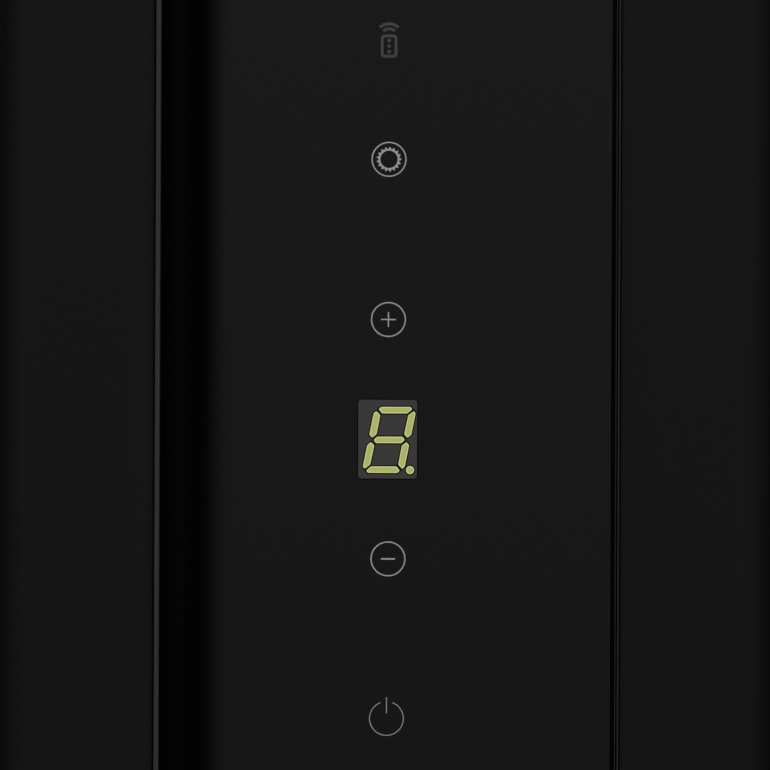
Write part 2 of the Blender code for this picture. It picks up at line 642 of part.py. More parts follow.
def make_prefilter_mesh(low, high):
    """A lattice: a grid whose cells are inset by half a bar and opened, then thickened."""
    columns = 4
    rows = 12
    half_bar = 0.8
    work = bmesh.new()
    size = ((high[0] - low[0]) / 2 * MM, (high[1] - low[1]) / 2 * MM)
    spread = Matrix.Diagonal((*size, 1.0, 1.0))
    bmesh.ops.create_grid(work, x_segments=columns, y_segments=rows, size=1.0, matrix=spread)
    cells = bmesh.ops.inset_individual(work, faces=work.faces[:], thickness=half_bar * MM)
    bmesh.ops.delete(work, geom=[f for f in work.faces if f not in set(cells["faces"])], context="FACES")
    mesh = bpy.data.meshes.new("prefilter_mesh")
    work.to_mesh(mesh)
    work.free()
    lattice = add("prefilter_mesh", mesh, MESH_GREY)
    lattice.rotation_euler = (math.pi / 2, 0, 0)
    lattice.location = (0, (PREFILTER_FRONT + 3) * MM, (low[1] + high[1]) / 2 * MM)
    thicken = lattice.modifiers.new("thickness", "SOLIDIFY")
    thicken.thickness = 1.2 * MM
    thicken.offset = 0


def make_rear_cover():
    outline = rounded_rectangle((-COVER_HALF, COVER_BOTTOM), (COVER_HALF, COVER_TOP), 4.0, 3)
    rows = 26
    bottom = 66.0
    pitch = 15.5
    slots = []
    for row in range(rows):
        z = bottom + pitch * row
        for low, high in ((-60.0, -3.0), (3.0, 60.0)):
            slots.append(rounded_rectangle((low, z), (high, z + 7.0), 2.0, 1))
    grip = rounded_rectangle((-24.0, 508.0), (24.0, 524.0), 6.0, 3)
    cover = plate("rear_cover", [outline, *slots, grip], "Y", COVER_INNER, COVER_OUTER, CASE_BLACK)
    flange = [
        rounded_rectangle((-COVER_HALF + 0.6, COVER_BOTTOM + 0.6), (COVER_HALF - 0.6, COVER_TOP - 0.6), 3.4, 3),
        rounded_rectangle((-COVER_HALF + 2.6, COVER_BOTTOM + 2.6), (COVER_HALF - 2.6, COVER_TOP - 2.6), 1.4, 3),
    ]
    join(cover, plate("rear_cover_flange", flange, "Y", PREFILTER_REAR + 2, COVER_INNER + 1, None))
    join(cover, block("rear_cover_rib", (-3.0, 60.6, 484.0), (3.0, COVER_INNER + 1, 500.0), None))
    for side, x in (("left", -62.0), ("right", 62.0)):
        disc(f"cover_magnet_{side}", 5.0, COVER_INNER - 3.3, COVER_INNER - GAP, STEEL, place=(x, 520.0), steps=16)


def make_interlock():
    body = block("interlock_switch", (-10.0, BAY_WALL_REAR + GAP, 486.0), (10.0, 50.0, 498.0), INNER_BLACK)
    cut(body, block("interlock_guide", (-2.8, 44.0, 488.7), (2.8, 56.0, 495.3), None))
    block("interlock_plunger", (-2.5, 45.0, 489.0), (2.5, 60.0, 495.0), FRAME_WHITE)


make_base()
make_side_shell("left_side_shell", -1)
make_side_shell("right_side_shell", 1)
make_top()
make_glass()
make_controls()
make_power()
make_leads()
make_fan_housing()
make_motor()
make_impeller()
make_cartridge()
make_prefilter()
make_rear_cover()
make_interlock()
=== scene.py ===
"""Slim tower air purifier: the finished surfaces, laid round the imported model.

Sizes in this script are in millimetres unless a name says otherwise. Every shape maker works in
millimetres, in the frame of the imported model, and piece() turns the result into metres.
"""

import json
import math

import bmesh
import bpy
from mathutils import Matrix, Vector


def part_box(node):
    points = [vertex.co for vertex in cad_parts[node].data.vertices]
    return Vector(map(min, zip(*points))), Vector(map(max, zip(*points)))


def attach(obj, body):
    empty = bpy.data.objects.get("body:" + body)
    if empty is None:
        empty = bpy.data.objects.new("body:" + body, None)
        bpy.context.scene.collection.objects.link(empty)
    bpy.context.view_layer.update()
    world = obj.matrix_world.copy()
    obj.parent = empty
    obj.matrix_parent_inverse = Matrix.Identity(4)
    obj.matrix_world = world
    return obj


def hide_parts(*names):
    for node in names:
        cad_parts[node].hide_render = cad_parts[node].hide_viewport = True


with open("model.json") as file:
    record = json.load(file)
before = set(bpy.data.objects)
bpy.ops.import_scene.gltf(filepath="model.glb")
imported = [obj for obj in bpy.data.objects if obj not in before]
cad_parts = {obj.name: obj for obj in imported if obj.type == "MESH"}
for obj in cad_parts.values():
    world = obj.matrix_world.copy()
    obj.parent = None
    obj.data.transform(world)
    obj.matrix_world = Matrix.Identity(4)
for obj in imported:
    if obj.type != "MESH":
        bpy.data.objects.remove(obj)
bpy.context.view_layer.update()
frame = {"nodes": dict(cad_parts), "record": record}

MM = 0.001


def span(node):
    """A node's lowest and highest corners in millimetres."""
    low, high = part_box(node)
    return Vector(low) / MM, Vector(high) / MM


# --------------------------------------------------------------------------- camera

PANE_LOW, PANE_HIGH = span("front_glass")
DISPLAY_LOW, DISPLAY_HIGH = span("digit_display")
DISPLAY_Z = (DISPLAY_LOW.z + DISPLAY_HIGH.z) / 2
EYE_DISTANCE = 828.0
EYE_X = -0.58
EYE_RISE = 11.6
LENS = 180.0
LEAN_DEG = -0.24


def make_camera():
    """A long lens straight ahead of the glass, a little above the display."""
    data = bpy.data.cameras.new("studio_camera")
    data.lens = LENS
    data.sensor_width = 36.0
    data.clip_start = 0.01
    data.clip_end = 50.0
    camera = bpy.data.objects.new("studio_camera", data)
    bpy.context.scene.collection.objects.link(camera)
    place = Matrix.Translation(Vector((EYE_X, PANE_LOW.y - EYE_DISTANCE, DISPLAY_Z + EYE_RISE)) * MM)
    level = Matrix.Rotation(math.radians(90), 4, "X")
    lean = Matrix.Rotation(math.radians(LEAN_DEG), 4, "Y")
    camera.matrix_world = place @ lean @ level
    bpy.context.scene.camera = camera


# --------------------------------------------------------------------------- node helpers

def add_node(tree, kind, **settings):
    made = tree.nodes.new(kind)
    for name, value in settings.items():
        setattr(made, name, value)
    return made


def feed(tree, socket, value):
    """Links a socket to a socket, or sets its number."""
    if isinstance(value, bpy.types.NodeSocket):
        tree.links.new(value, socket)
    else:
        socket.default_value = value


def calc(tree, operation, first, second=0.0, third=0.0):
    """One step of arithmetic on sockets or numbers."""
    made = add_node(tree, "ShaderNodeMath", operation=operation)
    for socket, value in zip(made.inputs, (first, second, third)):
        feed(tree, socket, value)
    return made.outputs[0]


def ease(tree, value, low, high, start=0.0, end=1.0, kind="SMOOTHSTEP"):
    """Runs from start to end while the value goes from low to high."""
    made = add_node(tree, "ShaderNodeMapRange", interpolation_type=kind)
    limits = {"Value": value, "From Min": low, "From Max": high, "To Min": start, "To Max": end}
    for name, number in limits.items():
        feed(tree, made.inputs[name], number)
    return made.outputs["Result"]


def noise(tree, coordinates, scale, detail, roughness=0.5):
    """Cloudy noise between 0 and 1, at a scale in cells per metre."""
    made = add_node(tree, "ShaderNodeTexNoise")
    feed(tree, made.inputs["Vector"], coordinates)
    for name, value in (("Scale", scale), ("Detail", detail), ("Roughness", roughness)):
        feed(tree, made.inputs[name], value)
    return made.outputs["Fac"]


def blend_colour(tree, share, first, second):
    """Runs from the first colour to the second while the share goes from 0 to 1."""
    made = add_node(tree, "ShaderNodeMix", data_type="RGBA")
    feed(tree, made.inputs["Factor"], share)
    feed(tree, made.inputs[6], first)
    feed(tree, made.inputs[7], second)
    return made.outputs[2]


def rest_place(tree):
    """Coordinates fixed to the piece, in metres."""
    return add_node(tree, "ShaderNodeTexCoord").outputs["Object"]


def start_group(name, inputs, outputs):
    """A node group with named sockets. Each input is (name, kind, value), each output (name, kind)."""
    group = bpy.data.node_groups.new(name, "ShaderNodeTree")
    for label, kind, value in inputs:
        socket = group.interface.new_socket(name=label, in_out="INPUT", socket_type=kind)
        socket.default_value = value
    for label, kind in outputs:
        group.interface.new_socket(name=label, in_out="OUTPUT", socket_type=kind)
    return group, group.nodes.new("NodeGroupInput"), group.nodes.new("NodeGroupOutput")


FLOAT = "NodeSocketFloat"
COLOUR = "NodeSocketColor"


def make_moulded_grain():
    """Fine spark-eroded grain with slow drifts in its gloss."""
    group, given, result = start_group(
        "moulded_grain",
        [("Grain Per Metre", FLOAT, 2600.0), ("Roughness", FLOAT, 0.5), ("Gloss Drift", FLOAT, 0.03)],
        [("Height", FLOAT), ("Roughness", FLOAT)])
    place = rest_place(group)
    fine = noise(group, place, given.outputs["Grain Per Metre"], 3.0, 0.6)
    broad = noise(group, place, 9.0, 2.0)
    drift = calc(group, "MULTIPLY", calc(group, "SUBTRACT", broad, 0.5), given.outputs["Gloss Drift"])
    group.links.new(fine, result.inputs["Height"])
    group.links.new(calc(group, "ADD", given.outputs["Roughness"], drift), result.inputs["Roughness"])
    return group


def make_settled_dust():
    """A thin uneven film on whatever faces up."""
    group, given, result = start_group(
        "settled_dust",
        [("Colour", COLOUR, (0.01, 0.01, 0.01, 1)), ("Dust Colour", COLOUR, (0.2, 0.19, 0.18, 1)),
         ("Amount", FLOAT, 0.05)],
        [("Colour", COLOUR)])
    upward = add_node(group, "ShaderNodeSeparateXYZ")
    feed(group, upward.inputs[0], add_node(group, "ShaderNodeNewGeometry").outputs["Normal"])
    facing = ease(group, upward.outputs["Z"], 0.35, 0.95)
    specks = ease(group, noise(group, rest_place(group), 900.0, 4.0, 0.7), 0.45, 0.75)
    clouds = ease(group, noise(group, rest_place(group), 22.0, 3.0), 0.3, 0.75, 0.35, 1.0)
    amount = calc(group, "MULTIPLY", facing, given.outputs["Amount"])
    uneven = calc(group, "MULTIPLY", calc(group, "ADD", specks, 0.4), clouds)
    cover = calc(group, "MULTIPLY", amount, uneven)
    dusty = blend_colour(group, cover, given.outputs["Colour"], given.outputs["Dust Colour"])
    group.links.new(dusty, result.inputs["Colour"])
    return group


def make_polish_wear():
    """Faint wipe marks: long soft streaks that change only the gloss."""
    group, given, result = start_group(
        "polish_wear", [("Roughness", FLOAT, 0.05), ("Wipe Marks", FLOAT, 0.02)], [("Roughness", FLOAT)])
    stretch = add_node(group, "ShaderNodeMapping")
    stretch.inputs["Scale"].default_value = (1.0, 1.0, 0.12)
    stretch.inputs["Rotation"].default_value = (0.0, 0.5, 0.0)
    feed(group, stretch.inputs["Vector"], rest_place(group))
    streaks = ease(group, noise(group, stretch.outputs["Vector"], 60.0, 4.0, 0.6), 0.5, 0.8)
    rough = calc(group, "MULTIPLY_ADD", streaks, given.outputs["Wipe Marks"], given.outputs["Roughness"])
    group.links.new(rough, result.inputs["Roughness"])
    return group


def make_drawn_lines():
    """Fine lines along the height, as on drawn or rolled steel."""
    group, given, result = start_group(
        "drawn_lines",
        [("Roughness", FLOAT, 0.3), ("Spread", FLOAT, 0.12)],
        [("Height", FLOAT), ("Roughness", FLOAT)])
    stretch = add_node(group, "ShaderNodeMapping")
    stretch.inputs["Scale"].default_value = (1.0, 1.0, 0.03)
    feed(group, stretch.inputs["Vector"], rest_place(group))
    lines = noise(group, stretch.outputs["Vector"], 3200.0, 3.0)
    rough = calc(group, "MULTIPLY_ADD", lines, given.outputs["Spread"], given.outputs["Roughness"])
    group.links.new(lines, result.inputs["Height"])
    group.links.new(rough, result.inputs["Roughness"])
    return group


MOULDED_GRAIN = make_moulded_grain()
SETTLED_DUST = make_settled_dust()
POLISH_WEAR = make_polish_wear()
DRAWN_LINES = make_drawn_lines()


def use_group(tree, group, **values):
    """Places a node group; an input's words are joined with underscores."""
    made = add_node(tree, "ShaderNodeGroup", node_tree=group)
    for name, value in values.items():
        feed(tree, made.inputs[name.replace("_", " ")], value)
    return made.outputs


def opaque(colour, share=1.0):
    """A colour at a share of its brightness, with full alpha."""
    return (*(c * share for c in colour), 1.0)


def new_finish(name, colour, roughness, metallic=0.0, specular=0.5):
    """A material with its Principled shader, whose even values sit on the shader's own sockets."""
    material = bpy.data.materials.new(name)
    material.use_nodes = True
    material.diffuse_color = opaque(colour)
    tree = material.node_tree
    shader = tree.nodes["Principled BSDF"]
    shader.inputs["Base Color"].default_value = opaque(colour)
    shader.inputs["Roughness"].default_value = roughness
    shader.inputs["Metallic"].default_value = metallic
    shader.inputs["Specular IOR Level"].default_value = specular
    return material, tree, shader


def raise_relief(tree, shader, height, depth_metres):
    """Gives the surface a fine relief of the given depth."""
    bump = add_node(tree, "ShaderNodeBump")
    bump.inputs["Strength"].default_value = 1.0
    bump.inputs["Distance"].default_value = depth_metres
    tree.links.new(height, bump.inputs["Height"])
    tree.links.new(bump.outputs["Normal"], shader.inputs["Normal"])


# --------------------------------------------------------------------------- finishes

def moulded(name, colour, roughness, grain=2600.0, depth_metres=6e-6, dust=0.05, specular=0.5):
    """Moulded plastic: fine grain, slow drifts in its gloss, and a little dust on whatever faces up."""
    material, tree, shader = new_finish(name, colour, roughness, specular=specular)
    surface = use_group(tree, MOULDED_GRAIN, Grain_Per_Metre=grain, Roughness=roughness, Gloss_Drift=0.04)
    if dust:
        film = use_group(tree, SETTLED_DUST, Colour=opaque(colour), Amount=dust)
        tree.links.new(film["Colour"], shader.inputs["Base Color"])
    tree.links.new(surface["Roughness"], shader.inputs["Roughness"])
    raise_relief(tree, shader, surface["Height"], depth_metres)
    return material


PANE_ROUGHNESS = 0.02
PANE_WIPE_MARKS = 0.012


def polish_the_face(tree, shader):
    """The pane's own gloss, which its ink and its lit faces share."""
    wear = use_group(tree, POLISH_WEAR, Roughness=PANE_ROUGHNESS, Wipe_Marks=PANE_WIPE_MARKS)
    tree.links.new(wear["Roughness"], shader.inputs["Roughness"])


def polished(name, colour):
    """Polished glass with faint wipe marks and a little dust."""
    material, tree, shader = new_finish(name, colour, PANE_ROUGHNESS)
    polish_the_face(tree, shader)
    film = use_group(tree, SETTLED_DUST, Colour=opaque(colour), Amount=0.04)
    tree.links.new(film["Colour"], shader.inputs["Base Color"])
    return material


def ground(name, colour, roughness):
    """Ground glass: a pale, fine, even frosting."""
    material, tree, shader = new_finish(name, colour, roughness)
    frost = noise(tree, rest_place(tree), 5200.0, 3.0, 0.7)
    mottled = blend_colour(tree, frost, opaque(colour, 0.8), opaque(colour, 1.2))
    tree.links.new(mottled, shader.inputs["Base Color"])
    raise_relief(tree, shader, frost, 3e-6)
    return material


def printed(name, colour):
    """Ink seen through the polished pane."""
    material, tree, shader = new_finish(name, colour, PANE_ROUGHNESS)
    polish_the_face(tree, shader)
    dots = noise(tree, rest_place(tree), 7000.0, 2.0)
    dotted = blend_colour(tree, dots, opaque(colour, 0.94), opaque(colour, 1.06))
    tree.links.new(dotted, shader.inputs["Base Color"])
    return material


def lit(name, colour):
    """A lit face behind the polished pane."""
    unlit = (0.002, 0.002, 0.002)
    material, tree, shader = new_finish(name, unlit, PANE_ROUGHNESS)
    polish_the_face(tree, shader)
    spread = noise(tree, rest_place(tree), 900.0, 2.0)
    glow = blend_colour(tree, spread, opaque(colour, 0.96), opaque(colour, 1.04))
    tree.links.new(glow, shader.inputs["Emission Color"])
    shader.inputs["Emission Strength"].default_value = 1.0
    return material


def shaded(name, colour):
    """A dull dark line round a lit face."""
    dull = 0.7
    material, tree, shader = new_finish(name, colour, dull, specular=0.12)
    wear = use_group(tree, POLISH_WEAR, Roughness=dull, Wipe_Marks=0.02)
    tree.links.new(wear["Roughness"], shader.inputs["Roughness"])
    return material


def metal(name, colour, roughness, spread=0.12):
    """Plated or drawn metal with fine lines along its height."""
    material, tree, shader = new_finish(name, colour, roughness, metallic=1.0)
    lines = use_group(tree, DRAWN_LINES, Roughness=roughness, Spread=spread)
    tint = noise(tree, rest_place(tree), 40.0, 2.0)
    mottled = blend_colour(tree, tint, opaque(colour, 0.9), opaque(colour))
    tree.links.new(mottled, shader.inputs["Base Color"])
    tree.links.new(lines["Roughness"], shader.inputs["Roughness"])
    raise_relief(tree, shader, lines["Height"], 4e-6)
    return material


def soft_skin(name, colour, roughness, cell, depth_metres):
    """Rubber or closed-cell foam: small pits."""
    material, tree, shader = new_finish(name, colour, roughness, specular=0.3)
    pits = add_node(tree, "ShaderNodeTexVoronoi", feature="SMOOTH_F1")
    pits.inputs["Scale"].default_value = cell
    tree.links.new(rest_place(tree), pits.inputs["Vector"])
    film = use_group(tree, SETTLED_DUST, Colour=opaque(colour), Amount=0.12)
    tree.links.new(film["Colour"], shader.inputs["Base Color"])
    raise_relief(tree, shader, pits.outputs["Distance"], depth_metres)
    return material


def circuit_board(name, mask_colour, copper_colour):
    """Solder mask over a net of tracks, with tinned pads."""
    material, tree, shader = new_finish(name, mask_colour, 0.35)
    cells_per_metre = 130.0
    track_pitch = 0.11
    under_mask = 0.35
    tin = opaque((0.62, 0.62, 0.6))
    cells = add_node(tree, "ShaderNodeTexVoronoi", feature="F1", distance="MANHATTAN")
    cells.inputs["Scale"].default_value = cells_per_metre
    tree.links.new(rest_place(tree), cells.inputs["Vector"])
    tracks = ease(tree, calc(tree, "PINGPONG", cells.outputs["Distance"], track_pitch), 0.05, 0.07)
    pads = ease(tree, cells.outputs["Distance"], 0.13, 0.1)
    copper = calc(tree, "MULTIPLY", tracks, under_mask)
    with_tracks = blend_colour(tree, copper, opaque(mask_colour), opaque(copper_colour))
    tree.links.new(blend_colour(tree, pads, with_tracks, tin), shader.inputs["Base Color"])
    tree.links.new(pads, shader.inputs["Metallic"])
    raise_relief(tree, shader, tracks, 3e-5)
    return material


def wound(name, colour, groove_shade_colour):
    """Enamelled wire, turn beside turn, painted darker in the grooves between the turns as painted shade.
    """
    material, tree, shader = new_finish(name, colour, 0.35, metallic=0.8)
    turns = add_node(tree, "ShaderNodeTexWave", wave_type="BANDS", bands_direction="Z")
    turns.inputs["Scale"].default_value = 600.0
    turns.inputs["Distortion"].default_value = 1.5
    tree.links.new(rest_place(tree), turns.inputs["Vector"])
    # Painted shade: each turn runs from copper on its crown to dark in the groove beside it.
    turns_with_painted_shade = blend_colour(tree, turns.outputs["Fac"], opaque(groove_shade_colour), opaque(colour))
    tree.links.new(turns_with_painted_shade, shader.inputs["Base Color"])
    raise_relief(tree, shader, turns.outputs["Fac"], 1.5e-4)
    return material


def pleat_paper(name, colour):
    """Glass-fibre paper: matt, with a fine tangle of fibres."""
    material, tree, shader = new_finish(name, colour, 0.92, specular=0.2)
    fibres = noise(tree, rest_place(tree), 2400.0, 5.0, 0.75)
    mottled = blend_colour(tree, fibres, opaque(colour, 0.9), opaque(colour))
    tree.links.new(mottled, shader.inputs["Base Color"])
    raise_relief(tree, shader, fibres, 8e-5)
    return material


def carbon_granules(name, colour):
    """A bed of coarse dark grains, each painted paler at its crown and darker towards the gaps between
    grains: a painted highlight and painted shade.
    """
    material, tree, shader = new_finish(name, colour, 0.7)
    grains = add_node(tree, "ShaderNodeTexVoronoi", feature="F1")
    grains.inputs["Scale"].default_value = 900.0
    tree.links.new(rest_place(tree), grains.inputs["Vector"])
    fall = grains.outputs["Distance"]
    # Painted highlight and shade: pale at each grain's middle, dark in the gaps between grains.
    grains_with_painted_shading = blend_colour(tree, fall, opaque(colour, 2.2), opaque(colour, 0.3))
    tree.links.new(grains_with_painted_shading, shader.inputs["Base Color"])
    raise_relief(tree, shader, calc(tree, "SUBTRACT", 1.0, fall), 5e-4)
    return material


CASE_BLACK = moulded("case_black", (0.0014, 0.0014, 0.0015), 0.45, specular=0.465)
INNER_BLACK = moulded("inner_black", (0.018, 0.018, 0.019), 0.6, grain=1800.0, depth_metres=1.2e-5)
FRAME_WHITE = moulded("frame_white", (0.68, 0.69, 0.67), 0.55, grain=2000.0, depth_metres=1.2e-5, dust=0.1)
PANE_BLACK = polished("pane_black", (0.0003, 0.0003, 0.0003))
# The left-hand bevel's ground finish is partly real; it is paler and on the left edge only as a painted
# highlight from the light on the left.
PANE_LEFT_EDGE_HIGHLIGHT = ground("pane_left_edge_painted_highlight", (0.0385, 0.0385, 0.0385), 0.6)
SEAL_BLACK = moulded("seal_black", (0.022, 0.022, 0.022), 0.6, dust=0.0, specular=0.2)
LIP_BLACK = moulded("lip_black", (0.03, 0.03, 0.03), 0.45, dust=0.0, specular=0.2)
INK_GREY = printed("ink_grey", (0.43, 0.43, 0.43))
INK_DIM = printed("ink_dim", (0.065, 0.065, 0.065))
# The display window's grey is a painted glow: it emits the grey that lamp light on its face would give,
# though the window is no lamp.
WINDOW_PAINTED_GLOW = lit("window_painted_glow", (0.0305, 0.0302, 0.0297))
SEGMENT_SHADE = shaded("segment_shade", (0.0012, 0.0012, 0.0008))
SEGMENT_RIM = lit("segment_rim", (0.567, 0.599, 0.272))
SEGMENT_CORE = lit("segment_core", (0.391, 0.434, 0.116))
RUBBER = soft_skin("rubber_black", (0.018, 0.018, 0.018), 0.8, 1400.0, 3e-5)
FOAM = soft_skin("foam_grey", (0.05, 0.05, 0.055), 0.95, 1100.0, 2e-4)
KEY_FOAM = soft_skin("key_foam", (0.3, 0.3, 0.32), 0.8, 1600.0, 1e-4)
LEAD_BLACK = soft_skin("lead_black", (0.02, 0.02, 0.02), 0.5, 2600.0, 1e-5)
STEEL = metal("plated_steel", (0.55, 0.56, 0.58), 0.25)
BRASS = metal("tinned_brass", (0.62, 0.58, 0.5), 0.2, 0.05)
BOARD = circuit_board("solder_mask", (0.015, 0.1, 0.04), (0.08, 0.25, 0.08))
WINDING = wound("copper_winding", (0.6, 0.27, 0.12), (0.12, 0.1, 0.09))
PAPER = pleat_paper("pleat_paper", (0.8, 0.8, 0.76))
CARBON = carbon_granules("carbon_granules", (0.03, 0.03, 0.032))
NET_GREY = moulded("net_grey", (0.1, 0.1, 0.105), 0.6, grain=3000.0, depth_metres=1e-5, dust=0.12)
STRAP_BLUE = soft_skin("strap_blue", (0.08, 0.2, 0.38), 0.55, 1800.0, 2e-5)
RECEIVER_LENS = polished("receiver_lens", (0.004, 0.002, 0.003))

SLOT_FINISH = {
    "glass": PANE_BLACK,
    "case_plastic": CASE_BLACK,
    "inner_plastic": INNER_BLACK,
    "rubber": RUBBER,
    "foam": FOAM,
    "board": BOARD,
    "steel": STEEL,
    "winding": WINDING,
    # The display face carries the window's painted glow.
    "display_face": WINDOW_PAINTED_GLOW,
    "key_foam": KEY_FOAM,
    "receiver_lens": RECEIVER_LENS,
    "frame_white": FRAME_WHITE,
    "filter_paper": PAPER,
    "carbon": CARBON,
    "mesh": NET_GREY,
    "tab": STRAP_BLUE,
    "lead": LEAD_BLACK,
}


def finish_carried_nodes():
    """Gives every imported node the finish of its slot."""
    for entry in frame["record"]["subparts"]:
        node = frame["nodes"][entry["node"]]
        for holder in node.material_slots:
            holder.material = SLOT_FINISH[entry["material_slot"]]


# --------------------------------------------------------------------------- shapes

def arc(centre, radius, start_deg, end_deg, steps):
    """Points along a round stretch, both ends included."""
    turn = [math.radians(start_deg + (end_deg - start_deg) * i / steps) for i in range(steps + 1)]
    return [(centre[0] + radius * math.cos(a), centre[1] + radius * math.sin(a)) for a in turn]


def circle(centre, radius, sides):
    return arc(centre, radius, 0, 360 - 360 / sides, sides - 1)


def rounded_rectangle(low, high, radius, steps):
    """A flat box between two corners, with round corners of so many steps each."""
    corners = (
        ((high[0] - radius, low[1] + radius), -90),
        ((high[0] - radius, high[1] - radius), 0),
        ((low[0] + radius, high[1] - radius), 90),
        ((low[0] + radius, low[1] + radius), 180),
    )
    return [point for centre, start in corners for point in arc(centre, radius, start, start + 90, steps)]


def rounded(points, reach, steps):
    """A polygon with short curves for corners, each starting the given reach before its corner."""
    found = []
    count = len(points)
    for i, corner in enumerate(points):
        here = Vector(corner)
        back = Vector(points[i - 1]) - here
        ahead = Vector(points[(i + 1) % count]) - here
        start = here + back.normalized() * min(reach, back.length / 2)
        end = here + ahead.normalized() * min(reach, ahead.length / 2)
        for j in range(steps + 1):
            t = j / steps
            found.append(tuple(start * (1 - t) ** 2 + here * 2 * t * (1 - t) + end * t**2))
    return found


def grown(points, distance):
    """A convex polygon with every side moved outward, or inward for a negative distance."""
    area = sum(a[0] * b[1] - b[0] * a[1] for a, b in zip(points, points[1:] + points[:1]))
    side = 1 if area > 0 else -1
    found = []
    count = len(points)
    for i, corner in enumerate(points):
        before = (Vector(corner) - Vector(points[i - 1])).normalized()
        after = (Vector(points[(i + 1) % count]) - Vector(corner)).normalized()
        out_before = Vector((before.y, -before.x)) * side
        out_after = Vector((after.y, -after.x)) * side
        mitre = (out_before + out_after).normalized()
        found.append(tuple(Vector(corner) + mitre * distance / max(mitre.dot(out_after), 0.3)))
    return found


def inset_box(low, high, inset, radius, steps, axis="Y"):
    """A box's outline seen along an axis, drawn in by an inset, with round corners."""
    bottom, top = (low.y, high.y) if axis == "Z" else (low.z, high.z)
    return rounded_rectangle((low.x + inset, bottom + inset), (high.x - inset, top - inset), radius, steps)


def middle_of(low, high, axis="Y"):
    """The middle of a box seen along an axis."""
    bottom, top = (low.y, high.y) if axis == "Z" else (low.z, high.z)
    return (low.x + high.x) / 2, (bottom + top) / 2


def at_level(outline, level, axis="Z"):
    """Lays a flat outline at a level along an axis."""
    if axis == "Z":
        return [(a, b, level) for a, b in outline]
    if axis == "Y":
        return [(a, level, b) for a, b in outline]
    return [(level, a, b) for a, b in outline]


def loft(loops, wrap=False):
    """Skins a row of closed loops of equally many points, and closes its two ends or joins them."""
    count = len(loops[0])
    verts = [point for loop in loops for point in loop]
    faces = []
    for row in range(len(loops) if wrap else len(loops) - 1):
        low = row * count
        high = (row + 1) % len(loops) * count
        for i in range(count):
            j = (i + 1) % count
            faces.append((low + i, low + j, high + j, high + i))
    if not wrap:
        faces.append(tuple(range(count)))
        faces.append(tuple(range(len(verts) - count, len(verts))))
    return verts, faces, [0] * len(faces)


def lathe(profile, centre, axis, sides, wrap=False):
    """Turns (radius, level) points about an axis; centre gives the other two coordinates."""
    loops = [at_level(circle(centre, radius, sides), level, axis) for radius, level in profile]
    return loft(loops, wrap=wrap)


def plate(outlines, axis, low, high, edge=0.0):
    """A flat outline with its holes between two levels, with its edges rounded."""
    curve = bpy.data.curves.new("outline", "CURVE")
    curve.dimensions = "2D"
    curve.fill_mode = "BOTH"
    curve.extrude = ((high - low) / 2 - edge) * MM
    curve.bevel_depth = edge * MM
    curve.bevel_resolution = 1
    curve.offset = -edge * MM
    for outline in outlines:
        spline = curve.splines.new("POLY")
        spline.points.add(len(outline) - 1)
        for point, (across, up) in zip(spline.points, outline):
            point.co = (across * MM, up * MM, 0, 1)
        spline.use_cyclic_u = True
    flat = bpy.data.objects.new("outline", curve)
    bpy.context.scene.collection.objects.link(flat)
    bpy.context.view_layer.update()
    mesh = bpy.data.meshes.new_from_object(flat.evaluated_get(bpy.context.evaluated_depsgraph_get()))
    bpy.data.objects.remove(flat)
    bpy.data.curves.remove(curve)
    work = bmesh.new()
    work.from_mesh(mesh)
    bmesh.ops.remove_doubles(work, verts=work.verts, dist=2e-7)
    work.verts.index_update()
    middle = (low + high) / 2
    verts = []
    for vert in work.verts:
        x, y, z = (c / MM for c in vert.co)
        verts.append((x, middle - z, y) if axis == "Y" else (x, y, middle + z))
    faces = [tuple(v.index for v in face.verts) for face in work.faces]
    work.free()
    bpy.data.meshes.remove(mesh)
    return verts, faces, [0] * len(faces)


def rod(points, radius, sides):
    """A round bar through a row of points, with flat ends."""
    section = circle((0, 0), radius, sides)
    loops = []
    for i, point in enumerate(points):
        ahead = Vector(points[min(i + 1, len(points) - 1)]) - Vector(points[max(i - 1, 0)])
        turn = ahead.normalized().to_track_quat("Z", "Y")
        loops.append([tuple(Vector(point) + turn @ Vector((u, v, 0))) for u, v in section])
    return loft(loops)


def hoop(centre, level, radius, thickness):
    """A round wire bent into a circle about an axis along Y."""
    section = [(radius + u, level + v) for u, v in circle((0, 0), thickness / 2, 8)]
    return lathe(section, centre, "Y", 64, wrap=True)


def bar(section, start, end, axis="X"):
    """A straight bar: a flat section carried between two levels along an axis."""
    return loft([at_level(section, start, axis), at_level(section, end, axis)])


def ribbon_wall(one_side, other_side, near, far, axis):
    """A long wall between two levels, whose two flat ends are closed with one quad for each step."""
    outline = [*one_side, *reversed(other_side)]
    size = len(outline)
    verts = [point for level in (near, far) for point in at_level(outline, level, axis)]
    faces = [(i, (i + 1) % size, size + (i + 1) % size, size + i) for i in range(size)]
    for first in (0, size):
        last = first + size - 1
        faces += [(first + i, first + i + 1, last - i - 1, last - i) for i in range(len(one_side) - 1)]
    return verts, faces, [0] * len(faces)


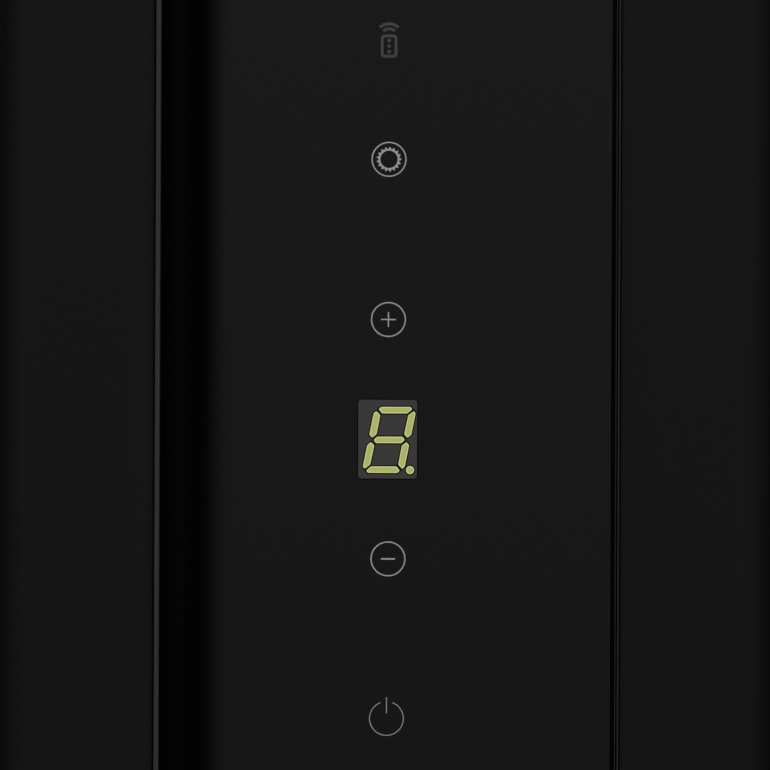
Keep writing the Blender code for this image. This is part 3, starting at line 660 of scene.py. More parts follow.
def piece(name, shapes, body, slot, *finishes, stands_for=(), sharp_deg=50):
    """Makes one object from shapes in millimetres, and rides it on its body."""
    verts, faces, marks = [], [], []
    for more_verts, more_faces, more_marks in shapes:
        start = len(verts)
        verts += [tuple(c * MM for c in v) for v in more_verts]
        faces += [tuple(start + i for i in face) for face in more_faces]
        marks += more_marks
    mesh = bpy.data.meshes.new(name)
    mesh.from_pydata(verts, [], faces)
    for finish in finishes:
        mesh.materials.append(finish)
    mesh.polygons.foreach_set("material_index", marks)
    work = bmesh.new()
    work.from_mesh(mesh)
    bmesh.ops.recalc_face_normals(work, faces=work.faces)
    work.to_mesh(mesh)
    work.free()
    mesh.shade_smooth()
    mesh.set_sharp_from_angle(angle=math.radians(sharp_deg))
    obj = bpy.data.objects.new(name, mesh)
    bpy.context.scene.collection.objects.link(obj)
    shading = obj.modifiers.new("even_shading", "WEIGHTED_NORMAL")
    shading.mode = "FACE_AREA"
    shading.keep_sharp = True
    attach(obj, body)
    if stands_for:
        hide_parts(*stands_for)


# --------------------------------------------------------------------------- glass strip

PANE_FRONT = PANE_LOW.y + 0.1
PANE_LEFT = PANE_LOW.x - 0.1
PANE_RIGHT = PANE_HIGH.x + 0.13
BEVEL = 1.0
SEAL_WIDTH = 0.24


def make_pane():
    """The glass pane: a flat face and a polished bevel, which is ground matt and paler along the left-hand
    edge only: a real ground finish, given to that edge alone as a painted highlight where the light from
    the left falls.
    """
    steps = 5
    corner = 2.0

    def ring(inset, level):
        low = (PANE_LEFT + inset, PANE_LOW.z + inset)
        high = (PANE_RIGHT - SEAL_WIDTH - inset, PANE_HIGH.z - inset)
        return at_level(rounded_rectangle(low, high, max(corner - inset, 0.4), steps), level, "Y")

    loops = [
        ring(0.3, PANE_HIGH.y),
        ring(0.0, PANE_HIGH.y - 0.3),
        ring(0.0, PANE_FRONT + BEVEL + 0.04),
        ring(0.04, PANE_FRONT + BEVEL - 0.04),
        ring(BEVEL, PANE_FRONT + 0.03),
        ring(BEVEL + 0.3, PANE_FRONT),
    ]
    verts, faces, marks = loft(loops)
    first_of_bevel = 2 * len(loops[0])
    for i, face in enumerate(faces[:-2]):
        centre_x = sum(verts[j][0] for j in face) / len(face)
        # Only the left-hand bevel takes the paler ground finish: a painted highlight where the light from
        # the left falls.
        if i >= first_of_bevel and centre_x < PANE_LEFT + BEVEL:
            marks[i] = 1
    piece("glass_pane", [(verts, faces, marks)], "chassis", "glass", PANE_BLACK, PANE_LEFT_EDGE_HIGHLIGHT,
          stands_for=["front_glass"], sharp_deg=20)


def make_edge_beads():
    """The seal along the pane's right-hand edge, and the carrier's lip beside it."""
    carrier_front = span("glass_carrier")[0].y
    seal = rounded_rectangle(
        (PANE_RIGHT - SEAL_WIDTH - 0.02, PANE_FRONT + 0.9), (PANE_RIGHT + 0.03, PANE_HIGH.y - 0.2), 0.08, 3)
    lip = rounded_rectangle(
        (PANE_RIGHT + 0.30, PANE_FRONT + 1.2), (PANE_RIGHT + 0.72, carrier_front + 0.2), 0.14, 4)
    for name, section, finish in (("pane_edge_seal", seal, SEAL_BLACK), ("carrier_lip", lip, LIP_BLACK)):
        upright = bar(section, PANE_LOW.z + 1, PANE_HIGH.z - 1, "Z")
        piece(name, [upright], "chassis", "inner_plastic", finish)


def inlay(name, outlines, layer, finish, slot="glass"):
    """A thin mark in the pane's face; a higher layer lies over a lower one."""
    front = PANE_FRONT - 0.014 * layer
    piece(name, [plate(outlines, "Y", front, PANE_FRONT + 0.02)], "chassis", slot, finish)


def placed(points, x, z):
    """An outline moved to its place on the pane."""
    return [(x + a, z + b) for a, b in points]


def band(centre, radius, stroke, start_deg, end_deg, steps):
    """An open ring's outline."""
    return [*arc(centre, radius + stroke / 2, start_deg, end_deg, steps),
            *arc(centre, radius - stroke / 2, end_deg, start_deg, steps)]


KEY_RING = 3.635
KEY_STROKE = 0.26
RING_SIDES = 96
PRINT_SHIFT = {
    "light": (0.08, -0.155),
    "plus": (0.10, -0.11),
    "minus": (0.21, -0.09),
    "power": (0.02, -0.02),
}


def key_centre(key):
    """Where a key's mark is printed: over its pad, off centre by the print's own small error."""
    x, z = middle_of(*span(f"key_pad_{key}"))
    shift_x, shift_z = PRINT_SHIFT[key]
    return x + shift_x, z + shift_z


def key_ring(centre):
    """A printed ring's outer and inner outline."""
    return [circle(centre, KEY_RING + side * KEY_STROKE / 2, RING_SIDES) for side in (1, -1)]


def toothed_outline(centre, teeth, root, tip, first_deg):
    """A wheel with pointed teeth, the first at the given angle."""
    points = []
    pitch = 360 / teeth
    for i in range(teeth):
        start = first_deg + pitch * i
        for radius, share in ((root, -0.46), (tip, -0.08), (tip, 0.08), (root, 0.46)):
            angle = math.radians(start + pitch * share)
            points.append((centre[0] + radius * math.cos(angle), centre[1] + radius * math.sin(angle)))
    return points


def make_key_marks():
    """The four keys' marks: a toothed sun, a plus, a minus and a power sign."""
    light = key_centre("light")
    sun = [toothed_outline(light, teeth=17, root=2.2, tip=2.66, first_deg=85.2), circle(light, 1.87, 64)]
    inlay("mark_light", [*key_ring(light), *sun], 1, INK_GREY)

    plus = key_centre("plus")
    arm, half = 1.6, 0.13
    cross = [
        (-arm, -half), (-half, -half), (-half, -arm),
        (half, -arm), (half, -half), (arm, -half),
        (arm, half), (half, half), (half, arm),
        (-half, arm), (-half, half), (-arm, half),
    ]
    inlay("mark_plus", [*key_ring(plus), placed(cross, *plus)], 1, INK_GREY)

    minus = key_centre("minus")
    dash = rounded_rectangle((-1.5, -0.165), (1.5, 0.165), 0.08, 2)
    inlay("mark_minus", [*key_ring(minus), placed(dash, *minus)], 1, INK_GREY)

    power = key_centre("power")
    gap_deg = 20.5
    stroke = 0.155
    stem = rounded_rectangle((-stroke / 2, 1.12), (stroke / 2, 4.56), 0.06, 2)
    open_ring = band(power, KEY_RING, stroke, 90 + gap_deg, 450 - gap_deg, RING_SIDES)
    inlay("mark_power", [open_ring, placed(stem, *power)], 1, INK_GREY)


def make_remote_mark():
    """A handset with three keys, sending two waves."""
    x, z = middle_of(*span("remote_receiver"))
    left, right = x - 1.8, x + 1.8
    bottom, top = z - 3.7, z + 1.3
    stroke = 0.62
    outer = rounded_rectangle((left, bottom), (right, top), 0.9, 5)
    inner = rounded_rectangle((left + stroke, bottom + stroke), (right - stroke, top - stroke), 0.35, 5)
    keys = [circle((x, z - drop), 0.4, 20) for drop in (0.0, 1.2, 2.4)]
    waves = [band((x, z + 0.6), radius, stroke, 48, 132, 24) for radius in (1.9, 3.0)]
    inlay("mark_remote", [outer, inner, *keys, *waves], 1, INK_DIM)


SLANT = 0.2


def segment_outlines():
    """The seven bars of one digit, upright, about the digit's centre."""
    half = 0.73
    rise = 6.40
    top = [(-3.17, half), (-3.66, 0.23), (-2.76, -half), (2.76, -half), (3.66, 0.23), (3.17, half)]
    middle = [(-2.75, half), (-3.39, 0), (-2.75, -half), (2.75, -half), (3.39, 0), (2.75, half)]
    upper_right = [(4.06, 6.27), (2.98, 5.35), (2.93, 1.20), (3.82, 0.42), (4.54, 1.12), (4.54, 5.72)]
    return [
        placed(top, 0, rise),
        [(x, -rise - z) for x, z in reversed(top)],
        middle,
        upper_right,
        [(-x, z) for x, z in reversed(upper_right)],
        [(x, -z) for x, z in reversed(upper_right)],
        [(-x, -z) for x, z in upper_right],
    ]


def make_digit():
    """The lit digit: a smoked window whose even grey is a painted glow, a shade round each bar, its bright
    rim and its core.
    """
    left, right = -6.3, 6.36
    bottom, top = DISPLAY_Z - 8.51, DISPLAY_Z + 8.42
    edge = 0.22
    border = rounded_rectangle((left - edge, bottom - edge), (right + edge, top + edge), 0.8, 5)
    window = rounded_rectangle((left, bottom), (right, top), 0.6, 5)
    inlay("digit_border", [border], 1, SEGMENT_SHADE, "display_face")
    # The window's even grey is a painted glow.
    inlay("digit_window", [window], 2, WINDOW_PAINTED_GLOW, "display_face")
    centre_x, centre_z = 0.38, DISPLAY_Z - 0.2
    point_x, point_z, point_radius = 4.50, -6.47, 0.905
    layers = (
        ("digit_shade", 0.23, 3, SEGMENT_SHADE),
        ("digit_rim", -0.04, 4, SEGMENT_RIM),
        ("digit_core", -0.25, 5, SEGMENT_CORE),
    )
    for name, growth, layer, finish in layers:
        outlines = []
        for outline in segment_outlines():
            shaped = rounded(grown(outline, growth), 0.22, 3)
            outlines.append([(centre_x + x + SLANT * z, centre_z + z) for x, z in shaped])
        dot = circle((centre_x + point_x, centre_z + point_z), point_radius + growth, 40)
        if growth > 0:
            for number, outline in enumerate([*outlines, dot], start=1):
                inlay(f"{name}_{number}", [outline], layer, finish, "display_face")
        else:
            inlay(name, [*outlines, dot], layer, finish, "display_face")


# --------------------------------------------------------------------------- casing

CORNER = 12.0
WALL = 2.5


def side_outline(side):
    """A side shell in plan, from the return beside the glass, round the side, to the rear return."""
    low, high = span("right_side_shell")
    front, rear, half = low.y, high.y, high.x
    nearer_the_glass = 0.04 if side < 0 else 0.19
    opening = low.x - nearer_the_glass
    roll, tilt = 13.5, 25.0
    edge_turn = 0.6
    roll_x = opening + roll * math.sin(math.radians(tilt))
    corner_x = half - CORNER
    inner = roll - WALL
    inner_tilt = math.degrees(math.asin((roll_x - opening - WALL) / inner))
    edge_y = front + roll - roll * math.cos(math.radians(tilt))
    return_depth = 10.0
    rear_end = 72.0
    outer_path = [
        (opening, front + return_depth),
        (opening, edge_y + 0.16),
        (opening + 0.02, edge_y + 0.07),
        (opening + 0.07, edge_y),
        *arc((roll_x, front + roll), roll, 270 - tilt + edge_turn, 270, 16),
        *arc((corner_x, front + CORNER), CORNER, 270, 360, 20),
        *arc((corner_x, rear - CORNER), CORNER, 0, 90, 20),
        (rear_end, rear),
    ]
    inner_path = [
        (opening + WALL, front + return_depth),
        *arc((roll_x, front + roll), inner, 270 - inner_tilt, 270, 8),
        *arc((corner_x, front + CORNER), CORNER - WALL, 270, 360, 14),
        *arc((corner_x, rear - CORNER), CORNER - WALL, 0, 90, 14),
        (rear_end, rear - WALL),
    ]
    return [(side * x, y) for x, y in [*outer_path, *reversed(inner_path)]]


SCREW_X = 76.0
SCREW_Y = 40.0
SCREW_BORE = 2.2
COLUMN_NEAR = 70.0
COLUMN_FAR = 84.8


def make_side_shells():
    """The two shells, each with two columns that take the base screws."""
    for name, side in (("left", -1), ("right", 1)):
        low, high = span(f"{name}_side_shell")
        shapes = [plate([side_outline(side)], "Z", low.z, high.z, 0.25)]
        left, right = sorted((side * COLUMN_NEAR, side * COLUMN_FAR))
        half_depth = 6
        column_top = 30.0
        for y in (-SCREW_Y, SCREW_Y):
            column = rounded_rectangle((left, y - half_depth), (right, y + half_depth), 1.5, 3)
            bore = circle((side * SCREW_X, y), SCREW_BORE, 20)
            shapes.append(plate([column, bore], "Z", low.z, column_top, 0.3))
        piece(f"{name}_shell_finished", shapes, "chassis", "case_plastic", CASE_BLACK,
              stands_for=[f"{name}_side_shell"], sharp_deg=25)


OUTLET_HALF = 60.0
OUTLET_FRONT = -62.0
OUTLET_REAR = 22.0


def make_top_cap():
    """The cap rolls over at its rim and dips softly into the outlet."""
    low, high = span("top_cap")
    steps = 10
    roll = 5.0
    dip = 1.2
    inner_level = high.z - 3.0

    def outer(inset, level):
        return at_level(inset_box(low, high, inset, CORNER - inset, steps, "Z"), level)

    def mouth(out, level):
        near = (-OUTLET_HALF - out, OUTLET_FRONT - out)
        far = (OUTLET_HALF + out, OUTLET_REAR + out)
        return at_level(rounded_rectangle(near, far, 6.0 + out, steps), level)

    loops = [outer(0.25, low.z), outer(0.0, low.z + 0.25)]
    for i in range(11):
        angle = math.radians(9 * i)
        loops.append(outer(roll * (1 - math.cos(angle)), high.z - roll * (1 - math.sin(angle))))
    for i in range(6):
        angle = math.radians(18 * i)
        loops.append(mouth(dip * (1 - math.sin(angle)), high.z - dip * (1 - math.cos(angle))))
    loops += [mouth(0.0, inner_level), outer(WALL, inner_level), outer(WALL, low.z)]
    piece("top_cap_finished", [loft(loops, wrap=True)], "chassis", "case_plastic", CASE_BLACK,
          stands_for=["top_cap"], sharp_deg=25)


def make_outlet_grille():
    """A rim, a centre rib and a row of slanted louvres."""
    low, high = span("outlet_grille")
    rows = 15
    rim_width = 2.6
    rim = [inset_box(low, high, 0.0, 5.7, 6, "Z"), inset_box(low, high, rim_width, 3.4, 6, "Z")]
    rib = [rounded_rectangle((-1.5, low.y + 1.5), (1.5, high.y - 1.5), 0.3, 2)]
    shapes = [plate(rim, "Z", low.z, high.z, 0.5), plate(rib, "Z", low.z, high.z, 0.5)]
    pitch = (high.y - low.y - 2 * rim_width) / rows
    easing = (high.z - low.z) * 0.1
    for row in range(rows):
        y = low.y + rim_width + pitch * (row + 0.5)
        blade = [
            (y - 1.9, low.z + 0.1),
            (y - 0.9, low.z + 0.1),
            (y + 1.9, high.z - 0.6),
            (y + 1.6, high.z - 0.1),
            (y + 0.9, high.z - 0.1),
        ]
        for start, end in ((low.x + 1.5, -0.8), (0.8, high.x - 1.5)):
            shapes.append(bar(rounded(blade, easing, 2), start, end))
    piece("outlet_louvres", shapes, "chassis", "case_plastic", CASE_BLACK, stands_for=["outlet_grille"])


def make_base():
    """The base plate with eased edges, the feet and the screws that hold the shells."""
    low, high = span("base_plate")
    outline = inset_box(low, high, 0.0, CORNER, 10, "Z")
    holes = [circle((x, y), SCREW_BORE, 24) for x in (-SCREW_X, SCREW_X) for y in (-SCREW_Y, SCREW_Y)]
    shapes = [plate([outline, *holes], "Z", low.z, high.z, 0.6)]
    piece("base_finished", shapes, "chassis", "case_plastic", CASE_BLACK, stands_for=["base_plate"])
    for end in ("front", "rear"):
        for side in ("left", "right"):
            make_foot(f"foot_{end}_{side}")
            make_screw(f"base_screw_{end}_{side}")


def make_foot(node):
    """A turned rubber foot with two tread grooves underneath."""
    low, high = span(node)
    radius = (high.x - low.x) / 2
    tread = [(0.6, 0.9), (1.6, 0.9), (1.9, 0.0), (3.6, 0.0), (3.9, 0.8), (4.7, 0.8), (5.0, 0.0)]
    wall = [(radius - 1.5, 0.0), (radius - 0.7, 0.25), (radius - 0.2, 0.8), (radius, 1.6)]
    top = [(radius, high.z - 0.6), (radius - 0.4, high.z - 0.1), (radius - 0.8, high.z)]
    turned = lathe([*tread, *wall, *top], middle_of(low, high, "Z"), "Z", 48)
    piece(f"{node}_tread", [turned], "chassis", "rubber", RUBBER, stands_for=[node])


def make_screw(node):
    """A pan-head screw with a six-lobed recess and a threaded shank."""
    low, high = span(node)
    centre = middle_of(low, high, "Z")
    head = (high.x - low.x) / 2
    sides = 36
    root, crest = 1.3, 1.65
    turns = 18
    thread_start = low.z + 2.4
    thread_length = high.z - low.z - 4.4

    def turned(radius, level):
        return at_level(circle(centre, radius, sides), level)

    def lobed(radius, level):
        points = []
        for i in range(sides):
            angle = 2 * math.pi * i / sides
            reach = radius * (1 + 0.12 * math.cos(6 * angle))
            points.append((centre[0] + reach * math.cos(angle), centre[1] + reach * math.sin(angle), level))
        return points

    loops = [lobed(1.0, low.z + 1.1), lobed(1.15, low.z)]
    loops += [turned(head - 1.0, low.z), turned(head - 0.35, low.z + 0.15), turned(head, low.z + 0.7)]
    loops += [turned(head, low.z + 1.6), turned(root, low.z + 1.7)]
    for i in range(turns):
        z = thread_start + thread_length * i / turns
        loops += [turned(root, z), turned(crest, z + 0.35)]
    loops += [turned(root, high.z - 1.8), turned(0.4, high.z)]
    piece(f"{node}_threaded", [loft(loops)], "chassis", "steel", STEEL, stands_for=[node])


def make_rear_cover():
    """The slotted cover with its flange, vanes behind the slots, and the rib that presses the switch."""
    low, high = span("rear_cover")
    inner, outer = 92.3, high.y
    rows = 26
    first_slot, slot_pitch, slot_height = 66.0, 15.5, 7.0
    slots = []
    vanes = []
    for row in range(rows):
        z = first_slot + slot_pitch * row
        section = [
            (inner - 5.6, z + 0.4),
            (inner - 5.2, z - 0.9),
            (inner - 4.4, z - 1.1),
            (inner + 0.3, z + 6.6),
            (inner + 0.3, z + 8.4),
            (inner - 0.6, z + 8.2),
        ]
        for left, right in ((-60.0, -3.0), (3.0, 60.0)):
            slots.append(rounded_rectangle((left, z), (right, z + slot_height), 3.4, 6))
            vanes.append(bar(rounded(section, 0.4, 2), left - 0.8, right + 0.8))
    outline = inset_box(low, high, 0.0, 4.0, 6)
    grip = rounded_rectangle((-24.0, 508.0), (24.0, 524.0), 6.0, 8)
    flange = [inset_box(low, high, 0.6, 3.4, 5), inset_box(low, high, 2.6, 1.4, 5)]
    flange_end = 82.0
    root_level = inner + 0.5
    rib_low, rib_high = Vector((-3.0, 0.0, 484.0)), Vector((3.0, 0.0, 500.0))
    rib = [at_level(inset_box(rib_low, rib_high, inset, 1.0, 3), y, "Y")
           for inset, y in ((0.6, low.y), (0.0, low.y + 0.6), (0.0, root_level))]
    shapes = [
        plate([outline, *slots, grip], "Y", inner, outer, 0.5),
        plate(flange, "Y", flange_end, root_level, 0.3),
        loft(rib),
    ]
    piece("rear_cover_finished", shapes, "rear_cover_body", "case_plastic", CASE_BLACK,
          stands_for=["rear_cover"])
    piece("rear_cover_vanes", vanes, "rear_cover_body", "case_plastic", CASE_BLACK)
    for side in ("left", "right"):
        make_magnet(f"cover_magnet_{side}")


def make_magnet(node):
    """A plated disc with eased edges and a small dimple."""
    low, high = span(node)
    radius = (high.x - low.x) / 2
    profile = [
        (radius - 0.4, high.y),
        (radius, high.y - 0.3),
        (radius, low.y + 0.4),
        (radius - 0.3, low.y + 0.1),
        (radius - 0.6, low.y),
        (1.4, low.y),
        (1.0, low.y + 0.4),
    ]
    disc = lathe(profile, middle_of(low, high), "Y", 48)
    piece(f"{node}_plated", [disc], "rear_cover_body", "steel", STEEL, stands_for=[node])


def make_rear_foot_panel():
    """The fixed panel below the cover, with the mains inlet in its right-hand end."""
    low, high = span("lower_rear_panel")
    inlet_low, inlet_high = span("mains_inlet")
    outlines = [inset_box(low, high, 0.0, 2.0, 5), inset_box(inlet_low, inlet_high, -0.3, 1.3, 4)]
    shapes = [plate(outlines, "Y", low.y, high.y, 0.4)]
    piece("rear_foot_panel", shapes, "chassis", "case_plastic", CASE_BLACK, stands_for=["lower_rear_panel"])
    make_mains_inlet(inlet_low, inlet_high)


def make_mains_inlet(low, high):
    """The socket's moulding and the two pins in its well."""
    x, z = middle_of(low, high)
    steps = 8
    half_width, half_height = 8, 4.6
    well_floor = 80.0

    def body(inset, level):
        return at_level(inset_box(low, high, inset, 1.0, steps), level, "Y")

    def socket(out, level):
        across, up = half_width + out, half_height + out
        outline = rounded_rectangle((x - across, z - up), (x + across, z + up), 4.5 + out, steps)
        return at_level(outline, level, "Y")

    loops = [body(0.3, low.y), body(0.0, low.y + 0.3), body(0.0, high.y - 0.5), body(0.15, high.y - 0.15)]
    loops += [body(0.5, high.y), socket(0.7, high.y), socket(0.2, high.y - 0.2), socket(0.0, high.y - 0.8)]
    loops += [socket(0.0, well_floor + 0.3), socket(-0.3, well_floor)]
    piece("mains_inlet_moulding", [loft(loops)], "chassis", "inner_plastic", INNER_BLACK,
          stands_for=["mains_inlet"])
    pin = [(1.2, 79.5), (1.2, 89.6), (1.0, 90.4), (0.5, 91.0)]
    pins = [lathe(pin, (x + shift, z), "Y", 24) for shift in (-4.3, 4.3)]
    piece("mains_inlet_pins", pins, "chassis", "steel", BRASS)


# --------------------------------------------------------------------------- filters and air path

def make_cartridge():
    """The cartridge's frame, its glued pleats, a carbon layer in a honeycomb, the strap and the seal."""
    low, high = span("filter_frame")
    outlines = [inset_box(low, high, 0.0, 3.0, 5), inset_box(low, high, 3.5, 0.6, 3)]
    shapes = [plate(outlines, "Y", low.y, high.y, 0.5)]
    piece("cartridge_frame", shapes, "cartridge", "frame_white", FRAME_WHITE, stands_for=["filter_frame"])
    make_pleats()
    make_carbon_tray()
    make_pull_tab()
    low, high = span("filter_seal")
    outlines = [inset_box(low, high, 0.0, 3.0, 5), inset_box(low, high, 8.0, 2.0, 5)]
    shapes = [plate(outlines, "Y", low.y, high.y, 1.6)]
    piece("cartridge_seal", shapes, "cartridge", "foam", FOAM, stands_for=["filter_seal"])


def make_pleats():
    """Fine pleats of paper with round folds, held apart by three lines of glue."""
    low, high = span("filter_pleats")
    pleats = 42
    half_sheet = 0.25
    depth = (high.y - low.y) / 2 - half_sheet
    middle = (low.y + high.y) / 2
    pitch = (high.x - low.x - 2 * half_sheet) / pleats
    steps = 10
    fold = 0.985
    front, rear = [], []
    for i in range(pleats * steps + 1):
        turn = 2 * math.pi * i / steps
        x = low.x + half_sheet + pitch * i / steps
        y = middle + depth * (math.asin(fold * math.cos(turn)) / math.asin(fold))
        slope = max(-1.0, min(1.0, -math.sin(turn) * 1.6))
        across = half_sheet * slope * 0.9
        along = half_sheet * (1 - abs(slope) * 0.6)
        front.append((x + across, y - along))
        rear.append((x - across, y + along))
    sheet = ribbon_wall(front, rear, low.z, high.z, "Z")
    piece("pleated_paper", [sheet], "cartridge", "filter_paper", PAPER, stands_for=["filter_pleats"])
    lines = []
    for share in (0.2, 0.5, 0.8):
        z = low.z + (high.z - low.z) * share
        section = rounded_rectangle((low.y - 0.1, z - 0.8), (low.y + 1.5, z + 0.8), 0.7, 3)
        lines.append(bar(section, low.x + 0.5, high.x - 0.5))
    piece("pleat_glue_lines", lines, "cartridge", "frame_white", FRAME_WHITE)


def make_carbon_tray():
    """A honeycomb of thin walls over a bed of granules."""
    low, high = span("carbon_layer")
    cell = 7.0
    wall = 0.55
    half_wall = wall / 2
    face = high.y
    comb_rear = face - 2.4
    rows = int((high.z - low.z) / (cell * 0.866))
    columns = int((high.x - low.x) / cell)
    row_pitch = (high.z - low.z) / rows
    half_cell = (high.x - low.x) / columns / 2
    bed = [at_level(inset_box(low, high, inset, 0.8, 3), y, "Y")
           for inset, y in ((0.4, low.y), (0.0, low.y + 0.4), (0.0, face - 2.2), (0.4, face - 1.8))]
    piece("carbon_bed", [loft(bed)], "cartridge", "carbon", CARBON, stands_for=["carbon_layer"])
    walls = []
    for row in range(rows + 1):
        upper, lower = [], []
        for column in range(2 * columns + 1):
            x = low.x + half_cell * column
            rise = row_pitch / 4 * (1 if (column + row) % 2 else -1)
            z = min(max(low.z + row_pitch * row + rise, low.z + wall), high.z - wall)
            upper.append((x, z + half_wall))
            lower.append((x, z - half_wall))
        walls.append(ribbon_wall(upper, lower, comb_rear, face, "Y"))
    for row in range(rows):
        bottom = low.z + row_pitch * row + row_pitch / 4
        top = min(bottom + row_pitch / 2, high.z - wall)
        for column in range(2 * columns + 1):
            if (column + row) % 2 == 0:
                continue
            x = min(max(low.x + half_cell * column, low.x + wall), high.x - wall)
            left, right = x - half_wall, x + half_wall
            section = [(left, bottom), (right, bottom), (right, top), (left, top)]
            walls.append(bar(section, comb_rear, face, "Y"))
    piece("carbon_honeycomb", walls, "cartridge", "inner_plastic", INNER_BLACK)


def make_pull_tab():
    """A strap with a raised rim and five grip ribs."""
    low, high = span("filter_pull_tab")
    profile = [(0.2, low.y), (0.0, low.y + 0.2), (0.0, high.y - 0.3)]
    profile += [(0.3, high.y), (1.4, high.y), (1.7, high.y - 0.35)]
    shapes = [loft([at_level(inset_box(low, high, inset, 4.0 - inset, 6), y, "Y") for inset, y in profile])]
    for i in range(5):
        z = low.z + 6 + 3.2 * i
        section = rounded_rectangle((high.y - 0.8, z - 0.6), (high.y, z + 0.6), 0.39, 3)
        shapes.append(bar(section, low.x + 4, high.x - 4))
    piece("pull_strap", shapes, "cartridge", "tab", STRAP_BLUE, stands_for=["filter_pull_tab"])


def make_prefilter():
    """A frame, a lattice of bars in it, and a net of fine threads over the bars."""
    low, high = span("prefilter_frame")
    outlines = [inset_box(low, high, 0.0, 3.0, 5), inset_box(low, high, 5.0, 0.6, 3)]
    shapes = [plate(outlines, "Y", low.y, high.y, 0.7)]
    piece("prefilter_rim", shapes, "prefilter", "case_plastic", CASE_BLACK, stands_for=["prefilter_frame"])

    low, high = span("prefilter_mesh")
    middle = (low.y + high.y) / 2
    width, height = high.x - low.x, high.z - low.z
    edge = 0.8

    def upright(x, y, radius, sides):
        return rod([(x, y, low.z), (x, y, high.z)], radius, sides)

    def crosswise(z, y, radius, sides):
        return rod([(low.x, y, z), (high.x, y, z)], radius, sides)

    columns, rows = 4, 12
    lattice = []
    for i in range(columns + 1):
        lattice.append(upright(low.x + edge + (width - 2 * edge) * i / columns, middle, 0.6, 8))
    for i in range(rows + 1):
        lattice.append(crosswise(low.z + edge + (height - 2 * edge) * i / rows, middle, 0.6, 8))
    piece("prefilter_lattice", lattice, "prefilter", "mesh", NET_GREY, stands_for=["prefilter_mesh"])
    pitch = 1.7
    threads = [upright(low.x + pitch * i, middle + 0.15, 0.16, 4) for i in range(1, int(width / pitch))]
    threads += [crosswise(low.z + pitch * i, middle + 0.3, 0.16, 4) for i in range(1, int(height / pitch))]
    piece("prefilter_net", threads, "prefilter", "mesh", NET_GREY)


def make_inlet_guard():
    """A welded wire guard: hoops on six spokes."""
    low, high = span("inlet_guard")
    x, z = middle_of(low, high)
    outer = (high.x - low.x) / 2
    wire = high.y - low.y
    level = (low.y + high.y) / 2
    rim = outer - wire / 2
    shapes = [hoop((x, z), level, rim - (outer - 9) * i / 6, wire) for i in range(7)]
    for i in range(6):
        angle = math.radians(60 * i)
        ends = [(x + r * math.cos(angle), level, z + r * math.sin(angle)) for r in (8.0, rim)]
        shapes.append(rod(ends, wire / 2, 8))
    piece("inlet_wire_guard", shapes, "chassis", "steel", STEEL, stands_for=["inlet_guard"])


# --------------------------------------------------------------------------- studio

FRONT_GLOW = 0.236
FRONT_RISE = 0.225
# The glow's brightness across the surroundings, as (slope to the side, share) pairs.
DARK_BAND = (
    (-0.200, 1.0),
    (-0.165, 1.0),
    (-0.130, 0.06),
    (-0.0576, 0.03),
    (-0.0564, 0.07),
    (-0.0552, 0.17),
    (-0.0525, 0.15),
    (-0.0508, 0.05),
    (-0.0475, 0.05),
    (-0.0456, 0.23),
    (-0.0438, 0.55),
    (-0.0424, 0.88),
    (-0.0414, 1.0),
)


def make_surround():
    """A soft room: a broad front glow with one narrow dark upright, bright rear quarters and ceiling."""
    world = bpy.data.worlds.new("studio_surround")
    bpy.context.scene.world = world
    world.use_nodes = True
    tree = world.node_tree
    tree.nodes.clear()
    way = add_node(tree, "ShaderNodeSeparateXYZ")
    tree.links.new(add_node(tree, "ShaderNodeTexCoord").outputs["Generated"], way.inputs[0])
    ahead = calc(tree, "MULTIPLY", way.outputs["Y"], -1.0)
    depth = calc(tree, "MAXIMUM", ahead, 0.05)
    slope_z = calc(tree, "DIVIDE", way.outputs["Z"], depth)
    slope_x = calc(tree, "DIVIDE", way.outputs["X"], depth)
    rise = calc(tree, "MINIMUM", calc(tree, "MAXIMUM", slope_z, -0.25), 0.4)
    glow = calc(tree, "MULTIPLY_ADD", rise, FRONT_RISE, FRONT_GLOW)
    spread = ease(tree, ahead, -0.1, 1.0, 0.06, 0.99)
    band_low, band_high = DARK_BAND[0][0], 0.05
    ramp = add_node(tree, "ShaderNodeValToRGB")
    stops = ramp.color_ramp.elements
    for number, (slope, level) in enumerate(DARK_BAND):
        position = (slope - band_low) / (band_high - band_low)
        stop = stops[number] if number < len(stops) else stops.new(position)
        stop.position = position
        stop.color = (level, level, level, 1.0)
    tree.links.new(ease(tree, slope_x, band_low, band_high, 0.0, 1.0, "LINEAR"), ramp.inputs[0])
    front = calc(tree, "MULTIPLY", calc(tree, "MULTIPLY", glow, spread), ramp.outputs[0])
    behind = ease(tree, way.outputs["Y"], 0.55, 0.85)
    aside = ease(tree, calc(tree, "ABSOLUTE", way.outputs["X"]), 0.05, 0.5, 0.35, 0.8)
    quarters = calc(tree, "MULTIPLY", behind, aside)
    ceiling = ease(tree, way.outputs["Z"], 0.65, 0.97, 0.0, 0.8)
    total = calc(tree, "ADD", front, calc(tree, "ADD", quarters, ceiling))
    seen = add_node(tree, "ShaderNodeLightPath").outputs["Is Camera Ray"]
    light = add_node(tree, "ShaderNodeBackground")
    tree.links.new(total, light.inputs["Color"])
    backdrop = add_node(tree, "ShaderNodeBackground")
    backdrop.inputs["Color"].default_value = (0.62, 0.63, 0.64, 1.0)
    mix = add_node(tree, "ShaderNodeMixShader")
    tree.links.new(seen, mix.inputs[0])
    tree.links.new(light.outputs[0], mix.inputs[1])
    tree.links.new(backdrop.outputs[0], mix.inputs[2])
    tree.links.new(mix.outputs[0], add_node(tree, "ShaderNodeOutputWorld").inputs["Surface"])


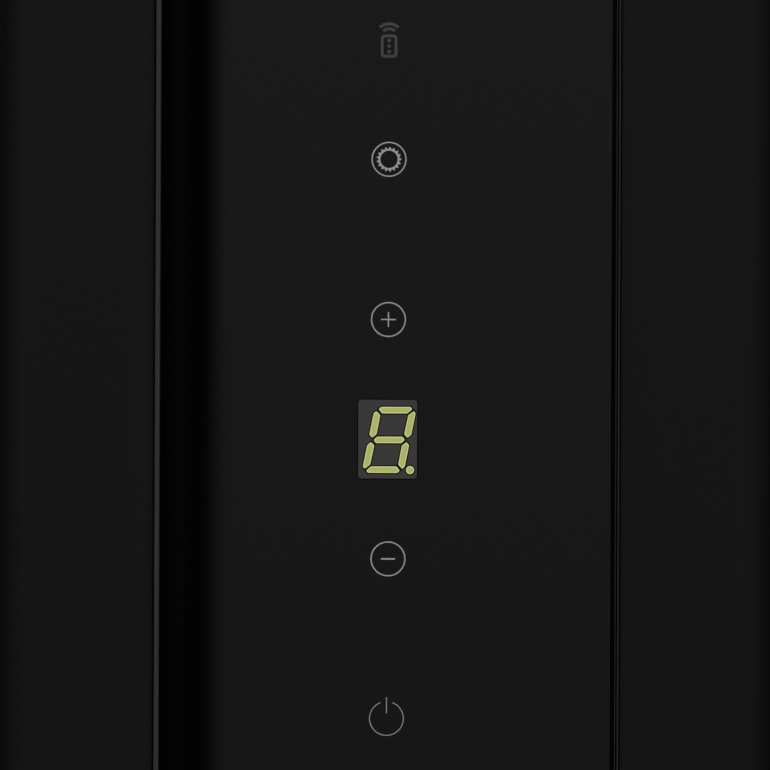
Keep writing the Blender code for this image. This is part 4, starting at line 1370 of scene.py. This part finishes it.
def add_softbox(name, azimuth_deg, elevation_deg, distance, size, power, glossy=False):
    """An area light aimed at the middle of the casing; azimuth 0 is straight ahead of the glass."""
    data = bpy.data.lights.new(name, "AREA")
    data.shape = "DISK"
    data.size = size
    data.energy = power
    light = bpy.data.objects.new(name, data)
    bpy.context.scene.collection.objects.link(light)
    azimuth, elevation = math.radians(azimuth_deg), math.radians(elevation_deg)
    flat = math.cos(elevation)
    way = Vector((math.sin(azimuth) * flat, -math.cos(azimuth) * flat, math.sin(elevation)))
    target = Vector((0.0, 0.0, 0.38))
    turn = way.to_track_quat("Z", "Y").to_matrix().to_4x4()
    light.matrix_world = Matrix.Translation(target + way * distance) @ turn
    light.visible_glossy = glossy
    light.visible_camera = False


def make_floor():
    """A wide pale floor just under the feet, in metres."""
    data = bpy.data.meshes.new("studio_floor")
    reach = 8.0
    level = -0.0002
    verts = [(-reach, -reach, level), (reach, -reach, level), (reach, reach, level), (-reach, reach, level)]
    data.from_pydata(verts, [], [(0, 1, 2, 3)])
    floor = bpy.data.objects.new("studio_floor", data)
    bpy.context.scene.collection.objects.link(floor)
    material, tree, shader = new_finish("floor_pale", (0.62, 0.62, 0.61), 0.8, specular=0.2)
    mottle = noise(tree, rest_place(tree), 6.0, 3.0)
    mottled = blend_colour(tree, mottle, opaque((0.60, 0.60, 0.59)), opaque((0.64, 0.64, 0.63)))
    tree.links.new(mottled, shader.inputs["Base Color"])
    data.materials.append(material)
    floor.visible_glossy = False


def make_studio():
    """The surroundings, the floor and three soft lights."""
    scene = bpy.context.scene
    scene.view_settings.view_transform = "Standard"
    scene.view_settings.look = "None"
    scene.view_settings.exposure = 0.0
    scene.view_settings.gamma = 1.0
    make_surround()
    make_floor()
    add_softbox("key_left", -50.0, 35.0, 1.6, 0.6, 9.5)
    add_softbox("overhead", 180.0, 80.0, 2.2, 1.6, 40.0)
    add_softbox("rear_fill", 150.0, 30.0, 2.0, 0.9, 22.0, glossy=True)


make_camera()
finish_carried_nodes()
make_pane()
make_edge_beads()
make_key_marks()
make_remote_mark()
make_digit()
make_side_shells()
make_top_cap()
make_outlet_grille()
make_base()
make_rear_cover()
make_rear_foot_panel()
make_cartridge()
make_prefilter()
make_inlet_guard()
make_studio()


def corners(box):
    return [[float(c) for c in corner] for corner in box]
